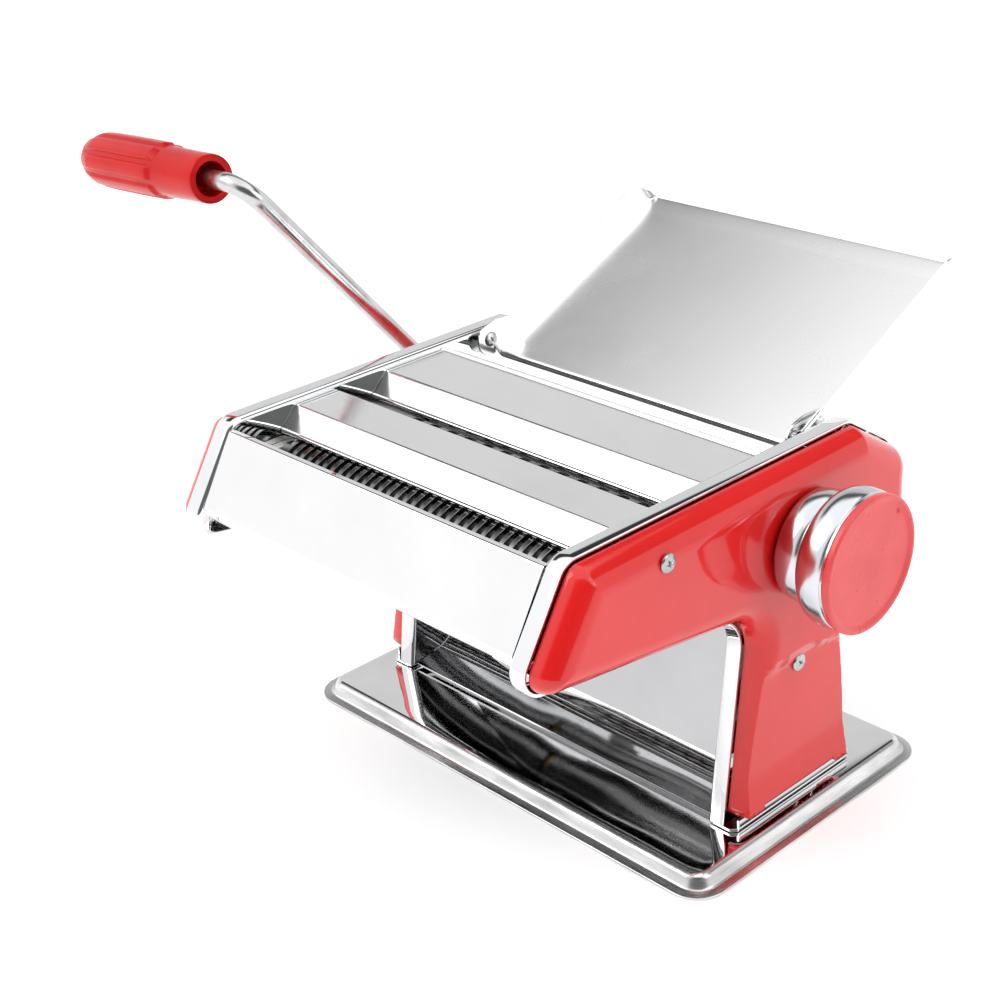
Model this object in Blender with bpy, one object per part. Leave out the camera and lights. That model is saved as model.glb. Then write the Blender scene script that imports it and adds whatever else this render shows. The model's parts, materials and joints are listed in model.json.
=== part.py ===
"""Hand-cranked pasta roller machine, in metres, +Z up.

The machine stands on its base plate at z = 0. X runs along the rollers: +X is the
regulator knob's side and -X the crank's side. -Y is the front, with the cutters,
and +Y the back, with the feed tray. Sizes are given in the machine's own frame,
whose origin is the middle of the base plate; the root empty then moves the whole
assembly so that the world origin is the bottom centre of its bounding box.
"""

import math

import bmesh
import bpy
from mathutils import Matrix, Vector

MM = 0.001
GAP = 0.3 * MM

# Placement of the machine's own frame in the world.
MACHINE_X = 51.04 * MM
MACHINE_Y = 6.34 * MM

# Base plate: a pressed tray with a flat lip, a rounded rim and a raised flat top.
BASE_HALF_X = 101.1 * MM
BASE_HALF_Y = 63.8 * MM
BASE_CORNER = 12.0 * MM
BASE_TOP = 6.0 * MM

# Side frames: a web with an outward flange all round its outline.
FRAME_X = 76.5 * MM
WEB = 1.2 * MM
FLANGE_X = 83.5 * MM
FRAME_TOP = 137.5 * MM
FOOT_Z = BASE_TOP + GAP
FRAME_OUTLINE = [  # y, z and corner radius, anticlockwise seen from +X
    (-31.5 * MM, FOOT_Z, 1.0 * MM),
    (31.0 * MM, FOOT_Z, 1.0 * MM),
    (24.0 * MM, 76.0 * MM, 12.0 * MM),
    (60.0 * MM, 84.5 * MM, 9.0 * MM),
    (59.5 * MM, 121.0 * MM, 12.0 * MM),
    (33.0 * MM, FRAME_TOP, 6.0 * MM),
    (-103.4 * MM, FRAME_TOP, 8.0 * MM),
    (-127.3 * MM, 99.3 * MM, 8.0 * MM),
    (-21.9 * MM, 85.3 * MM, 13.0 * MM),
]

# Side covers: pressed shells over the frames' flanges.
COVER_SHEET = 1.2 * MM
COVER_BOTTOM = 11.3 * MM

# Smooth rollers. The rear one turns in fixed bushes; the front one rides in
# sleeves that the regulator's eccentric bushes carry towards it.
ROLLER_Z = 107.8 * MM
REAR_Y = 22.0 * MM
KNOB_Y = -2.8 * MM
KNOB_Z = 109.0 * MM
ECCENTRICITY = 1.3 * MM
FRONT_Y = KNOB_Y - ECCENTRICITY
ROLLER_R = 11.7 * MM
JOURNAL_R = 5.2 * MM
SOCKET_R = 3.9 * MM

# Cutter pairs.
NARROW_Z = 116.5 * MM
NARROW_FRONT_Y = -101.6 * MM
NARROW_REAR_Y = -82.8 * MM
WIDE_Z = 112.0 * MM
WIDE_FRONT_Y = -59.9 * MM
WIDE_REAR_Y = -39.7 * MM
CUTTER_HALF = 71.9 * MM
CUTTER_JOURNAL_R = 4.0 * MM
CUTTER_SOCKET_R = 5.4 * MM

# Gears, on the crank's side between web and cover.
TEETH = 12
GEAR_INNER = -78.6 * MM
GEAR_OUTER = -83.6 * MM

# Crank: a bent rod whose arm stands outside the left cover, with a turning grip.
CRANK_X = -111.0 * MM
CRANK_R = 3.5 * MM
CRANK_LEAN = math.radians(41.2)
CRANK_ARM = 130.6 * MM
GRIP_DROOP = math.radians(6.1)
GRIP_START = 21.5 * MM
GRIP_END = 111.0 * MM
KNOB_SHAFT_R = 5.0 * MM

# Sheet-metal pieces between the frames.
SHEET = 0.8 * MM
SHEET_HALF = FRAME_X - GAP

# Feed tray: pivots on two screws, rests on the rear tie rod.
TRAY_PIVOT = (17.3 * MM, 133.3 * MM)
TRAY_EDGE = (20.8 * MM, 126.2 * MM)
TRAY_SLOPE = math.radians(26.0)
TRAY_FLANGE = 8.6 * MM
TRAY_SPLAY = 3.0 * MM

REAR_ROD = (36.5 * MM, 129.2 * MM)

# Fastenings, bores and gears.
BUSH_R = 8.0 * MM
ECCENTRIC_R = 10.5 * MM
TAB_LENGTH = 3.4 * MM
TAB_END = 78.1 * MM
PEG_RISES = (-4.4 * MM, 4.4 * MM)
FOOT_BOLT_PLACES = [(side * 82.4 * MM, y * MM) for side in (-1, 1) for y in (-18, 18)]
COVER_SCREWS = [(-70.3 * MM, 127.5 * MM), (-1.8 * MM, 62.4 * MM)]
TIE_RODS = {
    "front_tie_rod": (-111.0 * MM, 104.0 * MM),
    "middle_tie_rod": (-74.5 * MM, 99.0 * MM),
    "rear_tie_rod": REAR_ROD,
}
SMOOTH_GEAR = (8.8 * MM, 14.1 * MM, 3.1 * MM, 1.2 * MM)
NARROW_GEAR = (7.2 * MM, 11.1 * MM, 2.3 * MM, 1.0 * MM)
WIDE_GEAR = (7.9 * MM, 11.8 * MM, 2.7 * MM, 1.4 * MM)
CUTTERS = [
    {"name": "narrow_front", "axis": (NARROW_FRONT_Y, NARROW_Z),
     "radius": 9.1 * MM, "gear": NARROW_GEAR, "driven": False},
    {"name": "narrow_rear", "axis": (NARROW_REAR_Y, NARROW_Z),
     "radius": 9.1 * MM, "gear": NARROW_GEAR, "driven": True},
    {"name": "wide_front", "axis": (WIDE_FRONT_Y, WIDE_Z),
     "radius": 9.8 * MM, "gear": WIDE_GEAR, "driven": False},
    {"name": "wide_rear", "axis": (WIDE_REAR_Y, WIDE_Z),
     "radius": 9.8 * MM, "gear": WIDE_GEAR, "driven": True},
]
PAIRS = [(CUTTERS[0], CUTTERS[1]), (CUTTERS[2], CUTTERS[3])]

SMOOTH_ANGLE = math.radians(32)


# Materials ------------------------------------------------------------------


def material(name, colour, roughness, metallic):
    made = bpy.data.materials.new(name)
    made.use_nodes = True
    shader = made.node_tree.nodes["Principled BSDF"]
    shader.inputs["Base Color"].default_value = (*colour, 1.0)
    shader.inputs["Roughness"].default_value = roughness
    shader.inputs["Metallic"].default_value = metallic
    made.diffuse_color = (*colour, 1.0)
    return made


def make_materials():
    return {
        "chrome": material("chrome", (0.80, 0.81, 0.82), 0.06, 1.0),
        "base_steel": material("base_steel", (0.66, 0.66, 0.66), 0.14, 1.0),
        "sheet_steel": material("sheet_steel", (0.72, 0.72, 0.72), 0.22, 1.0),
        "roller_steel": material("roller_steel", (0.62, 0.62, 0.63), 0.18, 1.0),
        "gear_steel": material("gear_steel", (0.34, 0.34, 0.35), 0.40, 1.0),
        "brass": material("brass", (0.72, 0.52, 0.22), 0.30, 1.0),
        "red_paint": material("red_paint", (0.66, 0.02, 0.02), 0.16, 0.0),
        "red_plastic": material("red_plastic", (0.72, 0.03, 0.03), 0.30, 0.0),
        "white_nylon": material("white_nylon", (0.78, 0.77, 0.72), 0.45, 0.0),
        "zinc": material("zinc", (0.68, 0.69, 0.70), 0.24, 1.0),
    }


# Outlines in the YZ plane ---------------------------------------------------


def shifted_corners(corners, inset):
    """The corners of a closed anticlockwise outline, each side moved inwards by inset."""
    moved = []
    count = len(corners)
    for i, (y, z, radius) in enumerate(corners):
        here = Vector((y, z))
        into = (here - Vector(corners[i - 1][:2])).normalized()
        out = (Vector(corners[(i + 1) % count][:2]) - here).normalized()
        turn = into.x * out.y - into.y * out.x
        normal_in = Vector((-into.y, into.x))
        normal_out = Vector((-out.y, out.x))
        mitre = (normal_in + normal_out) / (1.0 + normal_in.dot(normal_out))
        spot = here + mitre * inset
        radius = radius - inset if turn > 0 else radius + inset
        moved.append((spot.x, spot.y, max(radius, 0.2 * MM)))
    return moved


def fillet(before, here, after, radius, steps):
    """Points of the arc that rounds the corner at here."""
    into = (before - here).normalized()
    out = (after - here).normalized()
    half = into.angle(out) / 2
    reach = radius / math.tan(half)
    centre = here + (into + out).normalized() * (radius / math.sin(half))
    start = here + into * reach - centre
    sweep = start.angle_signed(here + out * reach - centre)
    return [centre + Matrix.Rotation(-sweep * k / steps, 2) @ start for k in range(steps + 1)]


def rounded(corners, steps):
    """A closed outline with each corner rounded by its own radius."""
    spots = [Vector(corner[:2]) for corner in corners]
    count = len(spots)
    points = []
    for i, (_, _, radius) in enumerate(corners):
        points += fillet(spots[i - 1], spots[i], spots[(i + 1) % count], radius, steps)
    return points


def rounded_path(corners, steps):
    """An open path with its inner corners rounded."""
    spots = [Vector(corner[:2]) for corner in corners]
    points = [spots[0]]
    for i in range(1, len(spots) - 1):
        radius = corners[i][2]
        if radius > 0:
            points += fillet(spots[i - 1], spots[i], spots[i + 1], radius, steps)
        else:
            points.append(spots[i])
    return points + [spots[-1]]


def thickened(path, thickness):
    """A closed outline for a sheet of this thickness below the path."""
    below = []
    for i, here in enumerate(path):
        into = (here - path[i - 1]).normalized() if i else None
        out = (path[i + 1] - here).normalized() if i + 1 < len(path) else None
        into = into or out
        out = out or into
        normal_in = Vector((into.y, -into.x))
        normal_out = Vector((out.y, -out.x))
        mitre = (normal_in + normal_out) / (1.0 + normal_in.dot(normal_out))
        below.append(here + mitre * thickness)
    return path + below[::-1]


def circle(radius, centre, count, start=0.0):
    step = 2 * math.pi / count
    angles = [start + step * i for i in range(count)]
    return [Vector(centre) + radius * Vector((math.cos(a), math.sin(a))) for a in angles]


# Meshes ---------------------------------------------------------------------


class Assembly:
    """Holds the root empty, the joint empties and the materials."""

    def __init__(self):
        self.materials = make_materials()
        self.pivots = {}
        self.root = self.empty("machine", (MACHINE_X, MACHINE_Y, 0.0), None)

    def empty(self, name, at, parent):
        pivot = bpy.data.objects.new(name, None)
        pivot.empty_display_size = 10 * MM
        bpy.context.scene.collection.objects.link(pivot)
        pivot.parent = parent
        pivot.location = at
        return pivot

    def pivot(self, name, at, under=None):
        """An empty on a joint's axis; at is in the machine's frame."""
        parent, base = self.pivots.get(under, (self.root, Vector((0, 0, 0))))
        made = self.empty(name, Vector(at) - base, parent)
        self.pivots[name] = (made, Vector(at))
        return name

    def add(self, name, bm, finish, pivot=None, smooth=True):
        """Makes an object of a mesh drawn in the machine's frame."""
        parent, at = self.pivots.get(pivot, (self.root, Vector((0, 0, 0))))
        bmesh.ops.remove_doubles(bm, verts=bm.verts, dist=0.001 * MM)
        bmesh.ops.recalc_face_normals(bm, faces=bm.faces)
        bmesh.ops.translate(bm, verts=bm.verts, vec=-at)
        mesh = bpy.data.meshes.new(name)
        bm.to_mesh(mesh)
        bm.free()
        mesh.materials.append(self.materials[finish])
        if smooth:
            mesh.shade_smooth()
            mesh.set_sharp_from_angle(angle=SMOOTH_ANGLE)
        made = bpy.data.objects.new(name, mesh)
        made.parent = parent
        bpy.context.scene.collection.objects.link(made)
        return made

    def cut(self, target, bm, operation="DIFFERENCE"):
        """Cuts the target with a hidden helper, or joins the helper to it."""
        helper = self.add(target.name + "_helper", bm, "gear_steel", smooth=False)
        helper.hide_render = True
        helper.hide_viewport = True
        helper.display_type = "WIRE"
        modifier = target.modifiers.new("helper", "BOOLEAN")
        modifier.object = helper
        modifier.operation = operation
        modifier.solver = "EXACT"
        return helper


def loft(bm, rings, closed=False):
    """Joins rings of equally many points; the ends are capped unless closed."""
    loops = [[bm.verts.new(point) for point in ring] for ring in rings]
    count = len(loops[0])
    pairs = list(zip(loops, loops[1:]))
    if closed:
        pairs.append((loops[-1], loops[0]))
    for first, second in pairs:
        for i in range(count):
            j = (i + 1) % count
            bm.faces.new((first[i], first[j], second[j], second[i]))
    if not closed:
        bm.faces.new(loops[0])
        bm.faces.new(loops[-1][::-1])
    return bm


def at_x(outline, x):
    return [Vector((x, point.x, point.y)) for point in outline]


def prism(bm, outline, x0, x1):
    return loft(bm, [at_x(outline, x0), at_x(outline, x1)])


def ring_prism(bm, outer, inner, x0, x1):
    """A prism with a hole through it; outer and inner have equally many points."""
    rings = [at_x(outer, x0), at_x(outer, x1), at_x(inner, x1), at_x(inner, x0)]
    return loft(bm, rings, closed=True)


def turned(bm, profile, centre, segments, closed=False):
    """Spins a profile of (x, radius) about the line through centre along X."""
    axis_point = Vector((0.0, centre[0], centre[1]))
    verts = [bm.verts.new((x, centre[0], centre[1] + radius)) for x, radius in profile]
    ends = list(zip(verts, verts[1:]))
    if closed:
        ends.append((verts[-1], verts[0]))
    edges = [bm.edges.new(pair) for pair in ends]
    bmesh.ops.spin(
        bm,
        geom=verts + edges,
        cent=axis_point,
        axis=(1, 0, 0),
        angle=2 * math.pi,
        steps=segments,
        use_merge=True,
    )
    bmesh.ops.remove_doubles(bm, verts=bm.verts, dist=0.001 * MM)
    bmesh.ops.dissolve_degenerate(bm, edges=bm.edges, dist=0.001 * MM)
    return bm


def holes(spots, x0, x1):
    """Separate cylinders along X, as one cutter; spots are (y, z, radius)."""
    bm = bmesh.new()
    for y, z, radius in spots:
        segments = 12 if radius < 3 * MM else 24
        prism(bm, circle(radius, (y, z), segments), x0, x1)
    return bm


def mirrored(bm):
    """Turns a right-hand mesh into its left-hand twin."""
    bmesh.ops.scale(bm, verts=bm.verts, vec=(-1, 1, 1))
    return bm


def sided(bm, side):
    return bm if side > 0 else mirrored(bm)


SIDES = (("left", -1), ("right", 1))


# Structure ------------------------------------------------------------------


def rounded_rectangle(inset, z, steps=6):
    half_x = BASE_HALF_X - inset
    half_y = BASE_HALF_Y - inset
    radius = max(BASE_CORNER - inset, 3 * MM)
    corners = [(-half_x, -half_y, radius), (half_x, -half_y, radius),
               (half_x, half_y, radius), (-half_x, half_y, radius)]
    return [Vector((point.x, point.y, z)) for point in rounded(corners, steps)]


def make_base(build):
    """A sheet pressing: from the top face out to the lip and back along the under side."""
    upper = [(6.8, 6.0), (4.9, 5.3), (4.0, 3.6), (3.6, 1.5), (3.0, 1.0), (0.0, 1.0), (0.0, 0.0)]
    lower = [(4.2, 0.0), (4.6, 0.6), (5.0, 3.3), (5.6, 4.5), (7.0, 5.0)]
    bm = bmesh.new()
    loft(bm, [rounded_rectangle(inset * MM, z * MM) for inset, z in upper + lower])
    base = build.add("base_plate", bm, "base_steel")
    build.cut(base, upright_holes(FOOT_BOLT_PLACES, 2 * MM, 9 * MM))


def upright_holes(places, z0, z1):
    bm = bmesh.new()
    for x, y in places:
        ring = circle(2.3 * MM, (x, y), 16)
        loft(bm, [[Vector((p.x, p.y, z)) for p in ring] for z in (z0, z1)])
    return bm


def frame_shell(right):
    """The web and its flange: both faces of one bent sheet."""
    rings = [(1.5, 76.5), (0.45, 76.94), (0.0, 78.0), (0.0, 83.5), (1.2, 83.5), (1.2, 77.7)]
    bm = bmesh.new()
    loft(bm, [at_x(rounded(shifted_corners(FRAME_OUTLINE, inset * MM), 4), x * MM)
              for inset, x in rings])
    return sided(bm, right)


def foot_flange():
    corners = [(79.0, -31.2), (87.0, -31.2), (88.5, -28.6), (88.5, 31.2), (79.0, 31.2)]
    bm = bmesh.new()
    heights = (FOOT_Z, FOOT_Z + WEB)
    return loft(bm, [[Vector((x * MM, y * MM, z)) for x, y in corners] for z in heights])


def bore_spots(side):
    """Round openings through one web, as (y, z, radius)."""
    spots = [
        (REAR_Y, ROLLER_Z, BUSH_R + GAP),
        (KNOB_Y, KNOB_Z, ECCENTRIC_R + GAP),
        (*TRAY_PIVOT, 2.2 * MM),
    ]
    spots += [(y, z, 2.0 * MM) for y, z in COVER_SCREWS]
    spots += [(y, z, 2.3 * MM) for y, z in TIE_RODS.values()]
    for cutter in CUTTERS:
        spots.append((*cutter["axis"], journal_radius(cutter, side) + GAP))
    for pair in PAIRS:
        spots += [(*place, 1.8 * MM + GAP) for place in peg_places(pair)]
    return spots


def peg_places(pair):
    """The two pegs of a bearing plate, above and below the middle of its cutters."""
    (front, z), (rear, _) = (cutter["axis"] for cutter in pair)
    return [((front + rear) / 2, z + rise) for rise in PEG_RISES]


def make_frames(build, tabs):
    for name, side in SIDES:
        frame = build.add(name + "_side_frame", frame_shell(side), "chrome")
        build.cut(frame, sided(foot_flange(), side), "UNION")
        build.cut(frame, sided(holes(bore_spots(side), 75 * MM, 80 * MM), side))
        build.cut(frame, sided(slots(tabs), side))
        places = [(x, y) for x, y in FOOT_BOLT_PLACES if x * side > 0]
        build.cut(frame, upright_holes(places, 4 * MM, 9 * MM))


def slots(tabs):
    bm = bmesh.new()
    for centre, along in tabs:
        prism(bm, tab_outline(centre, along, TAB_LENGTH + 2 * GAP, 0.5 * MM + 2 * GAP),
              75 * MM, 80 * MM)
    return bm


def cover_corners():
    """The frame's outline with its two foot corners raised."""
    corners = list(FRAME_OUTLINE)
    corners[0] = (-31.0 * MM, COVER_BOTTOM, 2.5 * MM)
    corners[1] = (30.5 * MM, COVER_BOTTOM, 2.5 * MM)
    return corners


def cover_solid(rings, side):
    bm = bmesh.new()
    outlines = [(rounded(shifted_corners(cover_corners(), inset * MM), 4), x * MM)
                for inset, x in rings]
    loft(bm, [at_x(outline, x) for outline, x in outlines])
    return sided(bm, side)


def panel_cutter(inset, x, side):
    """The sunk panel of the leg, with a round pocket above it for the lower screw."""
    low, high = COVER_BOTTOM + 4.5 * MM, 63.5 * MM
    corners = [(-26.5 * MM, low, 3 * MM), (26.5 * MM, low, 3 * MM), (19.0 * MM, high, 3 * MM),
               (5.0 * MM, high + 0.8 * MM, 2 * MM), (2.6 * MM, 67.0 * MM, 2 * MM),
               (-6.2 * MM, 67.0 * MM, 2 * MM), (-8.6 * MM, high + 0.8 * MM, 2 * MM),
               (-22.5 * MM, high, 3 * MM)]
    bm = bmesh.new()
    prism(bm, rounded(shifted_corners(corners, inset), 3), x, 97 * MM)
    return sided(bm, side)


def make_covers(build):
    outer = [(1.8, 83.8), (2.2, 86.3), (3.6, 89.3), (6.0, 91.6), (10.8, 93.0)]
    inner = [(3.0, 80.0), (3.0, 84.2), (3.4, 86.0), (4.8, 88.5), (7.0, 90.6), (11.2, 91.8)]
    for name, side in SIDES:
        cover = build.add(name + "_side_cover", cover_solid(outer, side), "red_paint")
        inside = build.add(name + "_cover_inside", cover_solid(inner, side), "red_paint")
        inside.hide_render = True
        inside.hide_viewport = True
        build.cut(inside, panel_cutter(-COVER_SHEET, 91.0 * MM - COVER_SHEET, side))
        modifier = cover.modifiers.new("hollow", "BOOLEAN")
        modifier.object = inside
        modifier.operation = "DIFFERENCE"
        modifier.solver = "EXACT"
        build.cut(cover, panel_cutter(0.0, 91.0 * MM, side))
        spots = [(y, z, 2.0 * MM) for y, z in COVER_SCREWS]
        if side > 0:
            spots += [(KNOB_Y, KNOB_Z, KNOB_SHAFT_R + 0.6 * MM), (*detent_place(), 1.8 * MM)]
        else:
            spots.append((REAR_Y, ROLLER_Z, 5.8 * MM))
            spots += [(*c["axis"], 5.8 * MM) for c in CUTTERS if c["driven"]]
        build.cut(cover, sided(holes(spots, 88 * MM, 96 * MM), side))


# Sheet pieces between the frames ---------------------------------------------


def tab_outline(centre, along, length, thickness):
    across = Vector((-along.y, along.x)) * (thickness / 2)
    reach = along * (length / 2)
    return [centre - reach - across, centre + reach - across,
            centre + reach + across, centre - reach + across]


def path_tab(path, index):
    """A tab at the middle of one segment of the path, inside the sheet's thickness."""
    along = (path[index + 1] - path[index]).normalized()
    below = Vector((along.y, -along.x)) * (SHEET / 2)
    return ((path[index] + path[index + 1]) / 2 + below, along)


def make_sheet(build, name, path, finish, tab_segments, half=SHEET_HALF):
    """A bent sheet along X, with a tab through each web at the chosen segments."""
    piece = build.add(name, prism(bmesh.new(), thickened(path, SHEET), -half, half), finish)
    tabs = [path_tab(path, index) for index in tab_segments]
    for name_of_side, side in SIDES:
        bm = bmesh.new()
        for centre, along in tabs:
            prism(bm, tab_outline(centre, along, TAB_LENGTH, 0.5 * MM), 60 * MM, TAB_END)
        helper = build.cut(piece, sided(bm, side), "UNION")
        helper.name = name + "_tabs_" + name_of_side
    return tabs


def scraper_path(centre, radius, degrees, length):
    """A straight strip that points from a roller's surface outwards."""
    way = Vector((math.cos(math.radians(degrees)), math.sin(math.radians(degrees))))
    start = Vector(centre) + way * radius
    return [start, start + way * length]


def sheet_paths():
    """name, path and tab segments of each sheet piece between the frames."""
    guard = rounded_path([(-102.9, 134.0, 0), (-104.7, 134.4, 0.6), (-119.9, 108.9, 1.2),
                          (-113.6, 107.0, 0)], 3)
    front = rounded_path([(-82.8, 127.7, 0), (-75.5, 135.0, 1.2), (-57.3, 135.0, 0)], 3)
    rear = rounded_path([(-40.5, 127.7, 0), (-33.2, 135.0, 1.2), (-6.0, 135.0, 1.2),
                         (-3.1, 137.4, 0)], 3)
    chute = rounded_path([(-29.0, 8.0, 0), (-10.5, 11.0, 8.0), (10.0, 52.5, 0),
                          (37.5, 108.0, 0)], 6)
    return {
        "front_guard": (scaled(guard[::-1]), [0]),
        "front_fender": (scaled(front), [4]),
        "rear_fender": (scaled(rear), [4]),
        "dough_chute": (scaled(chute), [0, 7, 8]),
    }


def scaled(path):
    return [point * MM for point in path]


def make_sheets(build):
    """Makes the sheets and returns the tabs that their slots in the webs must clear."""
    tabs = []
    for name, (path, segments) in sheet_paths().items():
        finish = "chrome" if name in ("front_guard", "dough_chute") else "sheet_steel"
        tabs += make_sheet(build, name, path, finish, segments)
    for cutter in CUTTERS:
        degrees = 250 if "front" in cutter["name"] else 290
        path = scraper_path(cutter["axis"], cutter["radius"] + 0.7 * MM, degrees, 5 * MM)
        tabs += make_sheet(build, cutter["name"] + "_comb", path, "sheet_steel", [0])
    for name, y, z, degrees in (("front", FRONT_Y, KNOB_Z, 250), ("rear", REAR_Y, ROLLER_Z, 275)):
        path = scraper_path((y, z), ROLLER_R + 0.5 * MM, degrees, 7 * MM)
        tabs += make_sheet(build, name + "_roller_scraper", path, "sheet_steel", [0])
    return tabs


def make_tie_rods(build):
    for name, place in TIE_RODS.items():
        ends = [(79.2, 0.0), (79.2, 2.4), (78.7, 3.2), (78.0, 3.2), (78.0, 2.0), (76.2, 2.0),
                (76.2, 2.7), (75.9, 3.0)]
        profile = [(-x * MM, r * MM) for x, r in ends] + [(x * MM, r * MM) for x, r in ends[::-1]]
        build.add(name, turned(bmesh.new(), profile, place, 12), "chrome")


# Fasteners ------------------------------------------------------------------


def cross_recess(centre, x0, x1):
    arm, half = 1.9 * MM, 0.45 * MM
    spots = [(arm, half), (half, half), (half, arm), (-half, arm), (-half, half), (-arm, half),
             (-arm, -half), (-half, -half), (-half, -arm), (half, -arm), (half, -half),
             (arm, -half)]
    turn = Matrix.Rotation(math.radians(25), 2)
    outline = [Vector(centre) + turn @ Vector(spot) for spot in spots]
    return prism(bmesh.new(), outline, x0, x1)


def make_cover_screws(build):
    for name, side in SIDES:
        for place_name, place, face in zip(("upper", "lower"), COVER_SCREWS, (93.3, 91.3)):
            profile = [(75.6, 0), (75.6, 1.2), (76.0, 1.6), (face, 1.6), (face, 3.1),
                       (face + 0.6, 3.0), (face + 1.3, 2.2), (face + 1.6, 0)]
            bm = turned(bmesh.new(), [(x * MM, r * MM) for x, r in profile], place, 12)
            node = name + "_cover_screw_" + place_name
            screw = build.add(node, sided(bm, side), "zinc")
            recess = cross_recess(place, (face + 0.5) * MM, (face + 3) * MM)
            build.cut(screw, sided(recess, side))


def make_tray_screws(build):
    for name, side in SIDES:
        profile = [(70.9, 0), (71.1, 1.6), (71.8, 2.7), (72.4, 3.0), (72.8, 3.0), (72.8, 1.9),
                   (74.6, 1.9), (74.6, 3.2), (76.1, 3.2), (76.1, 1.9), (78.0, 1.9), (78.0, 2.6),
                   (79.8, 2.6), (79.8, 0)]
        bm = turned(bmesh.new(), [(x * MM, r * MM) for x, r in profile], TRAY_PIVOT, 12)
        screw = build.add(name + "_tray_screw", sided(bm, side), "zinc")
        build.cut(screw, sided(cross_recess(TRAY_PIVOT, 69 * MM, 72.0 * MM), side))


def make_foot_bolts(build):
    """Bolt and nut as one piece: the head is under the plate, the nut above the flange."""
    profile = [(2.2, 0), (2.2, 3.4), (4.7, 3.4), (4.7, 2.0), (7.8, 2.0), (7.8, 3.5), (10.6, 3.5),
               (11.0, 3.2), (11.0, 0)]
    for number, (x, y) in enumerate(FOOT_BOLT_PLACES, 1):
        bm = turned(bmesh.new(), [(h * MM, r * MM) for h, r in profile], (0, 0), 12)
        upright = Matrix.Translation((x, y, 0)) @ Matrix.Rotation(math.radians(-90), 4, "Y")
        bmesh.ops.transform(bm, matrix=upright, verts=bm.verts)
        build.add(f"foot_bolt_{number}", bm, "zinc")


# Smooth rollers ---------------------------------------------------------------


def make_rear_roller(build):
    pivot = build.pivot("drive_pivot", (0, REAR_Y, ROLLER_Z))
    centre = (REAR_Y, ROLLER_Z)
    profile = [(-79.3, 0), (-79.3, 3.9), (-90.5, 3.9), (-90.5, 5.2), (-74.6, 5.2), (-74.6, 11.4),
               (-74.3, 11.7), (74.3, 11.7), (74.6, 11.4), (74.6, 5.2), (78.1, 5.2), (78.1, 0)]
    bm = turned(bmesh.new(), [(x * MM, r * MM) for x, r in profile], centre, 28)
    build.add("rear_roller", bm, "roller_steel", pivot)
    bm = gear(centre, SMOOTH_GEAR, JOURNAL_R + GAP, mesh_angle())
    build.add("rear_roller_gear", bm, "gear_steel", pivot)
    profile = [(74.9, 5.5), (74.9, 10.0), (76.2, 10.0), (76.2, 8.0), (78.2, 8.0), (78.2, 5.5)]
    for name, side in SIDES:
        bm = turned(bmesh.new(), [(x * MM, r * MM) for x, r in profile], centre, 24, closed=True)
        build.add(name + "_rear_bush", sided(bm, side), "brass")


def mesh_angle():
    """Direction from the rear roller's axis to the front one's."""
    return math.atan2(KNOB_Z - ROLLER_Z, FRONT_Y - REAR_Y)


def make_front_roller(build):
    carriage = build.pivot("carriage_pivot", (0, FRONT_Y, KNOB_Z))
    pivot = build.pivot("front_roller_pivot", (0, FRONT_Y, KNOB_Z), carriage)
    centre = (FRONT_Y, KNOB_Z)
    profile = [(-84.2, 3.8), (-84.2, 5.2), (-74.6, 5.2), (-74.6, 11.4), (-74.3, 11.7),
               (74.3, 11.7), (74.6, 11.4), (74.6, 5.2), (78.1, 5.2), (78.1, 3.8)]
    bm = turned(bmesh.new(), [(x * MM, r * MM) for x, r in profile], centre, 28, closed=True)
    build.add("front_roller", bm, "roller_steel", pivot)
    bm = gear(centre, SMOOTH_GEAR, JOURNAL_R + GAP, mesh_angle() + math.pi + math.pi / TEETH)
    build.add("front_roller_gear", bm, "gear_steel", pivot)
    for name, side in SIDES:
        bm = bmesh.new()
        ring_prism(bm, circle(6.5 * MM, centre, 24), circle(5.5 * MM, centre, 24),
                   75.0 * MM, 78.2 * MM)
        build.add(name + "_journal_sleeve", sided(bm, side), "brass", carriage)


def gear(centre, size, bore, phase):
    """A spur gear with straight-sided teeth: size is root and tip radius, root and tip width."""
    root, tip, wide, narrow = size
    outline = []
    for k in range(TEETH):
        middle = phase + 2 * math.pi * k / TEETH
        for radius, width in ((root, -wide), (tip, -narrow), (tip, narrow), (root, wide)):
            angle = middle + math.asin(width / 2 / radius)
            outline.append(Vector(centre) + radius * Vector((math.cos(angle), math.sin(angle))))
    inner = circle(bore, centre, 4 * TEETH, phase - math.pi / TEETH * 0.75)
    return ring_prism(bmesh.new(), outline, inner, GEAR_OUTER, GEAR_INNER)


# Cutters ----------------------------------------------------------------------


def journal_radius(cutter, side):
    return CUTTER_SOCKET_R if cutter["driven"] and side < 0 else CUTTER_JOURNAL_R


def make_cutters(build):
    for number, cutter in enumerate(CUTTERS):
        centre = cutter["axis"]
        pivot = build.pivot(cutter["name"] + "_pivot", (0, *centre))
        left = journal_radius(cutter, -1)
        radius = cutter["radius"]
        profile = [(-CUTTER_HALF, radius), (CUTTER_HALF, radius), (CUTTER_HALF, CUTTER_JOURNAL_R),
                   (77.9 * MM, CUTTER_JOURNAL_R), (77.9 * MM, 0)]
        if cutter["driven"]:
            start = [(-79.3 * MM, 0), (-79.3 * MM, SOCKET_R), (-90.5 * MM, SOCKET_R),
                     (-90.5 * MM, left), (-CUTTER_HALF, left)]
        else:
            start = [(-84.2 * MM, 0), (-84.2 * MM, left), (-CUTTER_HALF, left)]
        bm = turned(bmesh.new(), start + profile, centre, 24)
        build.add(cutter["name"] + "_cutter", bm, "roller_steel", pivot)
        phase = math.pi / TEETH * (number % 2)
        bm = gear(centre, cutter["gear"], left + GAP, phase)
        build.add(cutter["name"] + "_gear", bm, "gear_steel", pivot)


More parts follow.
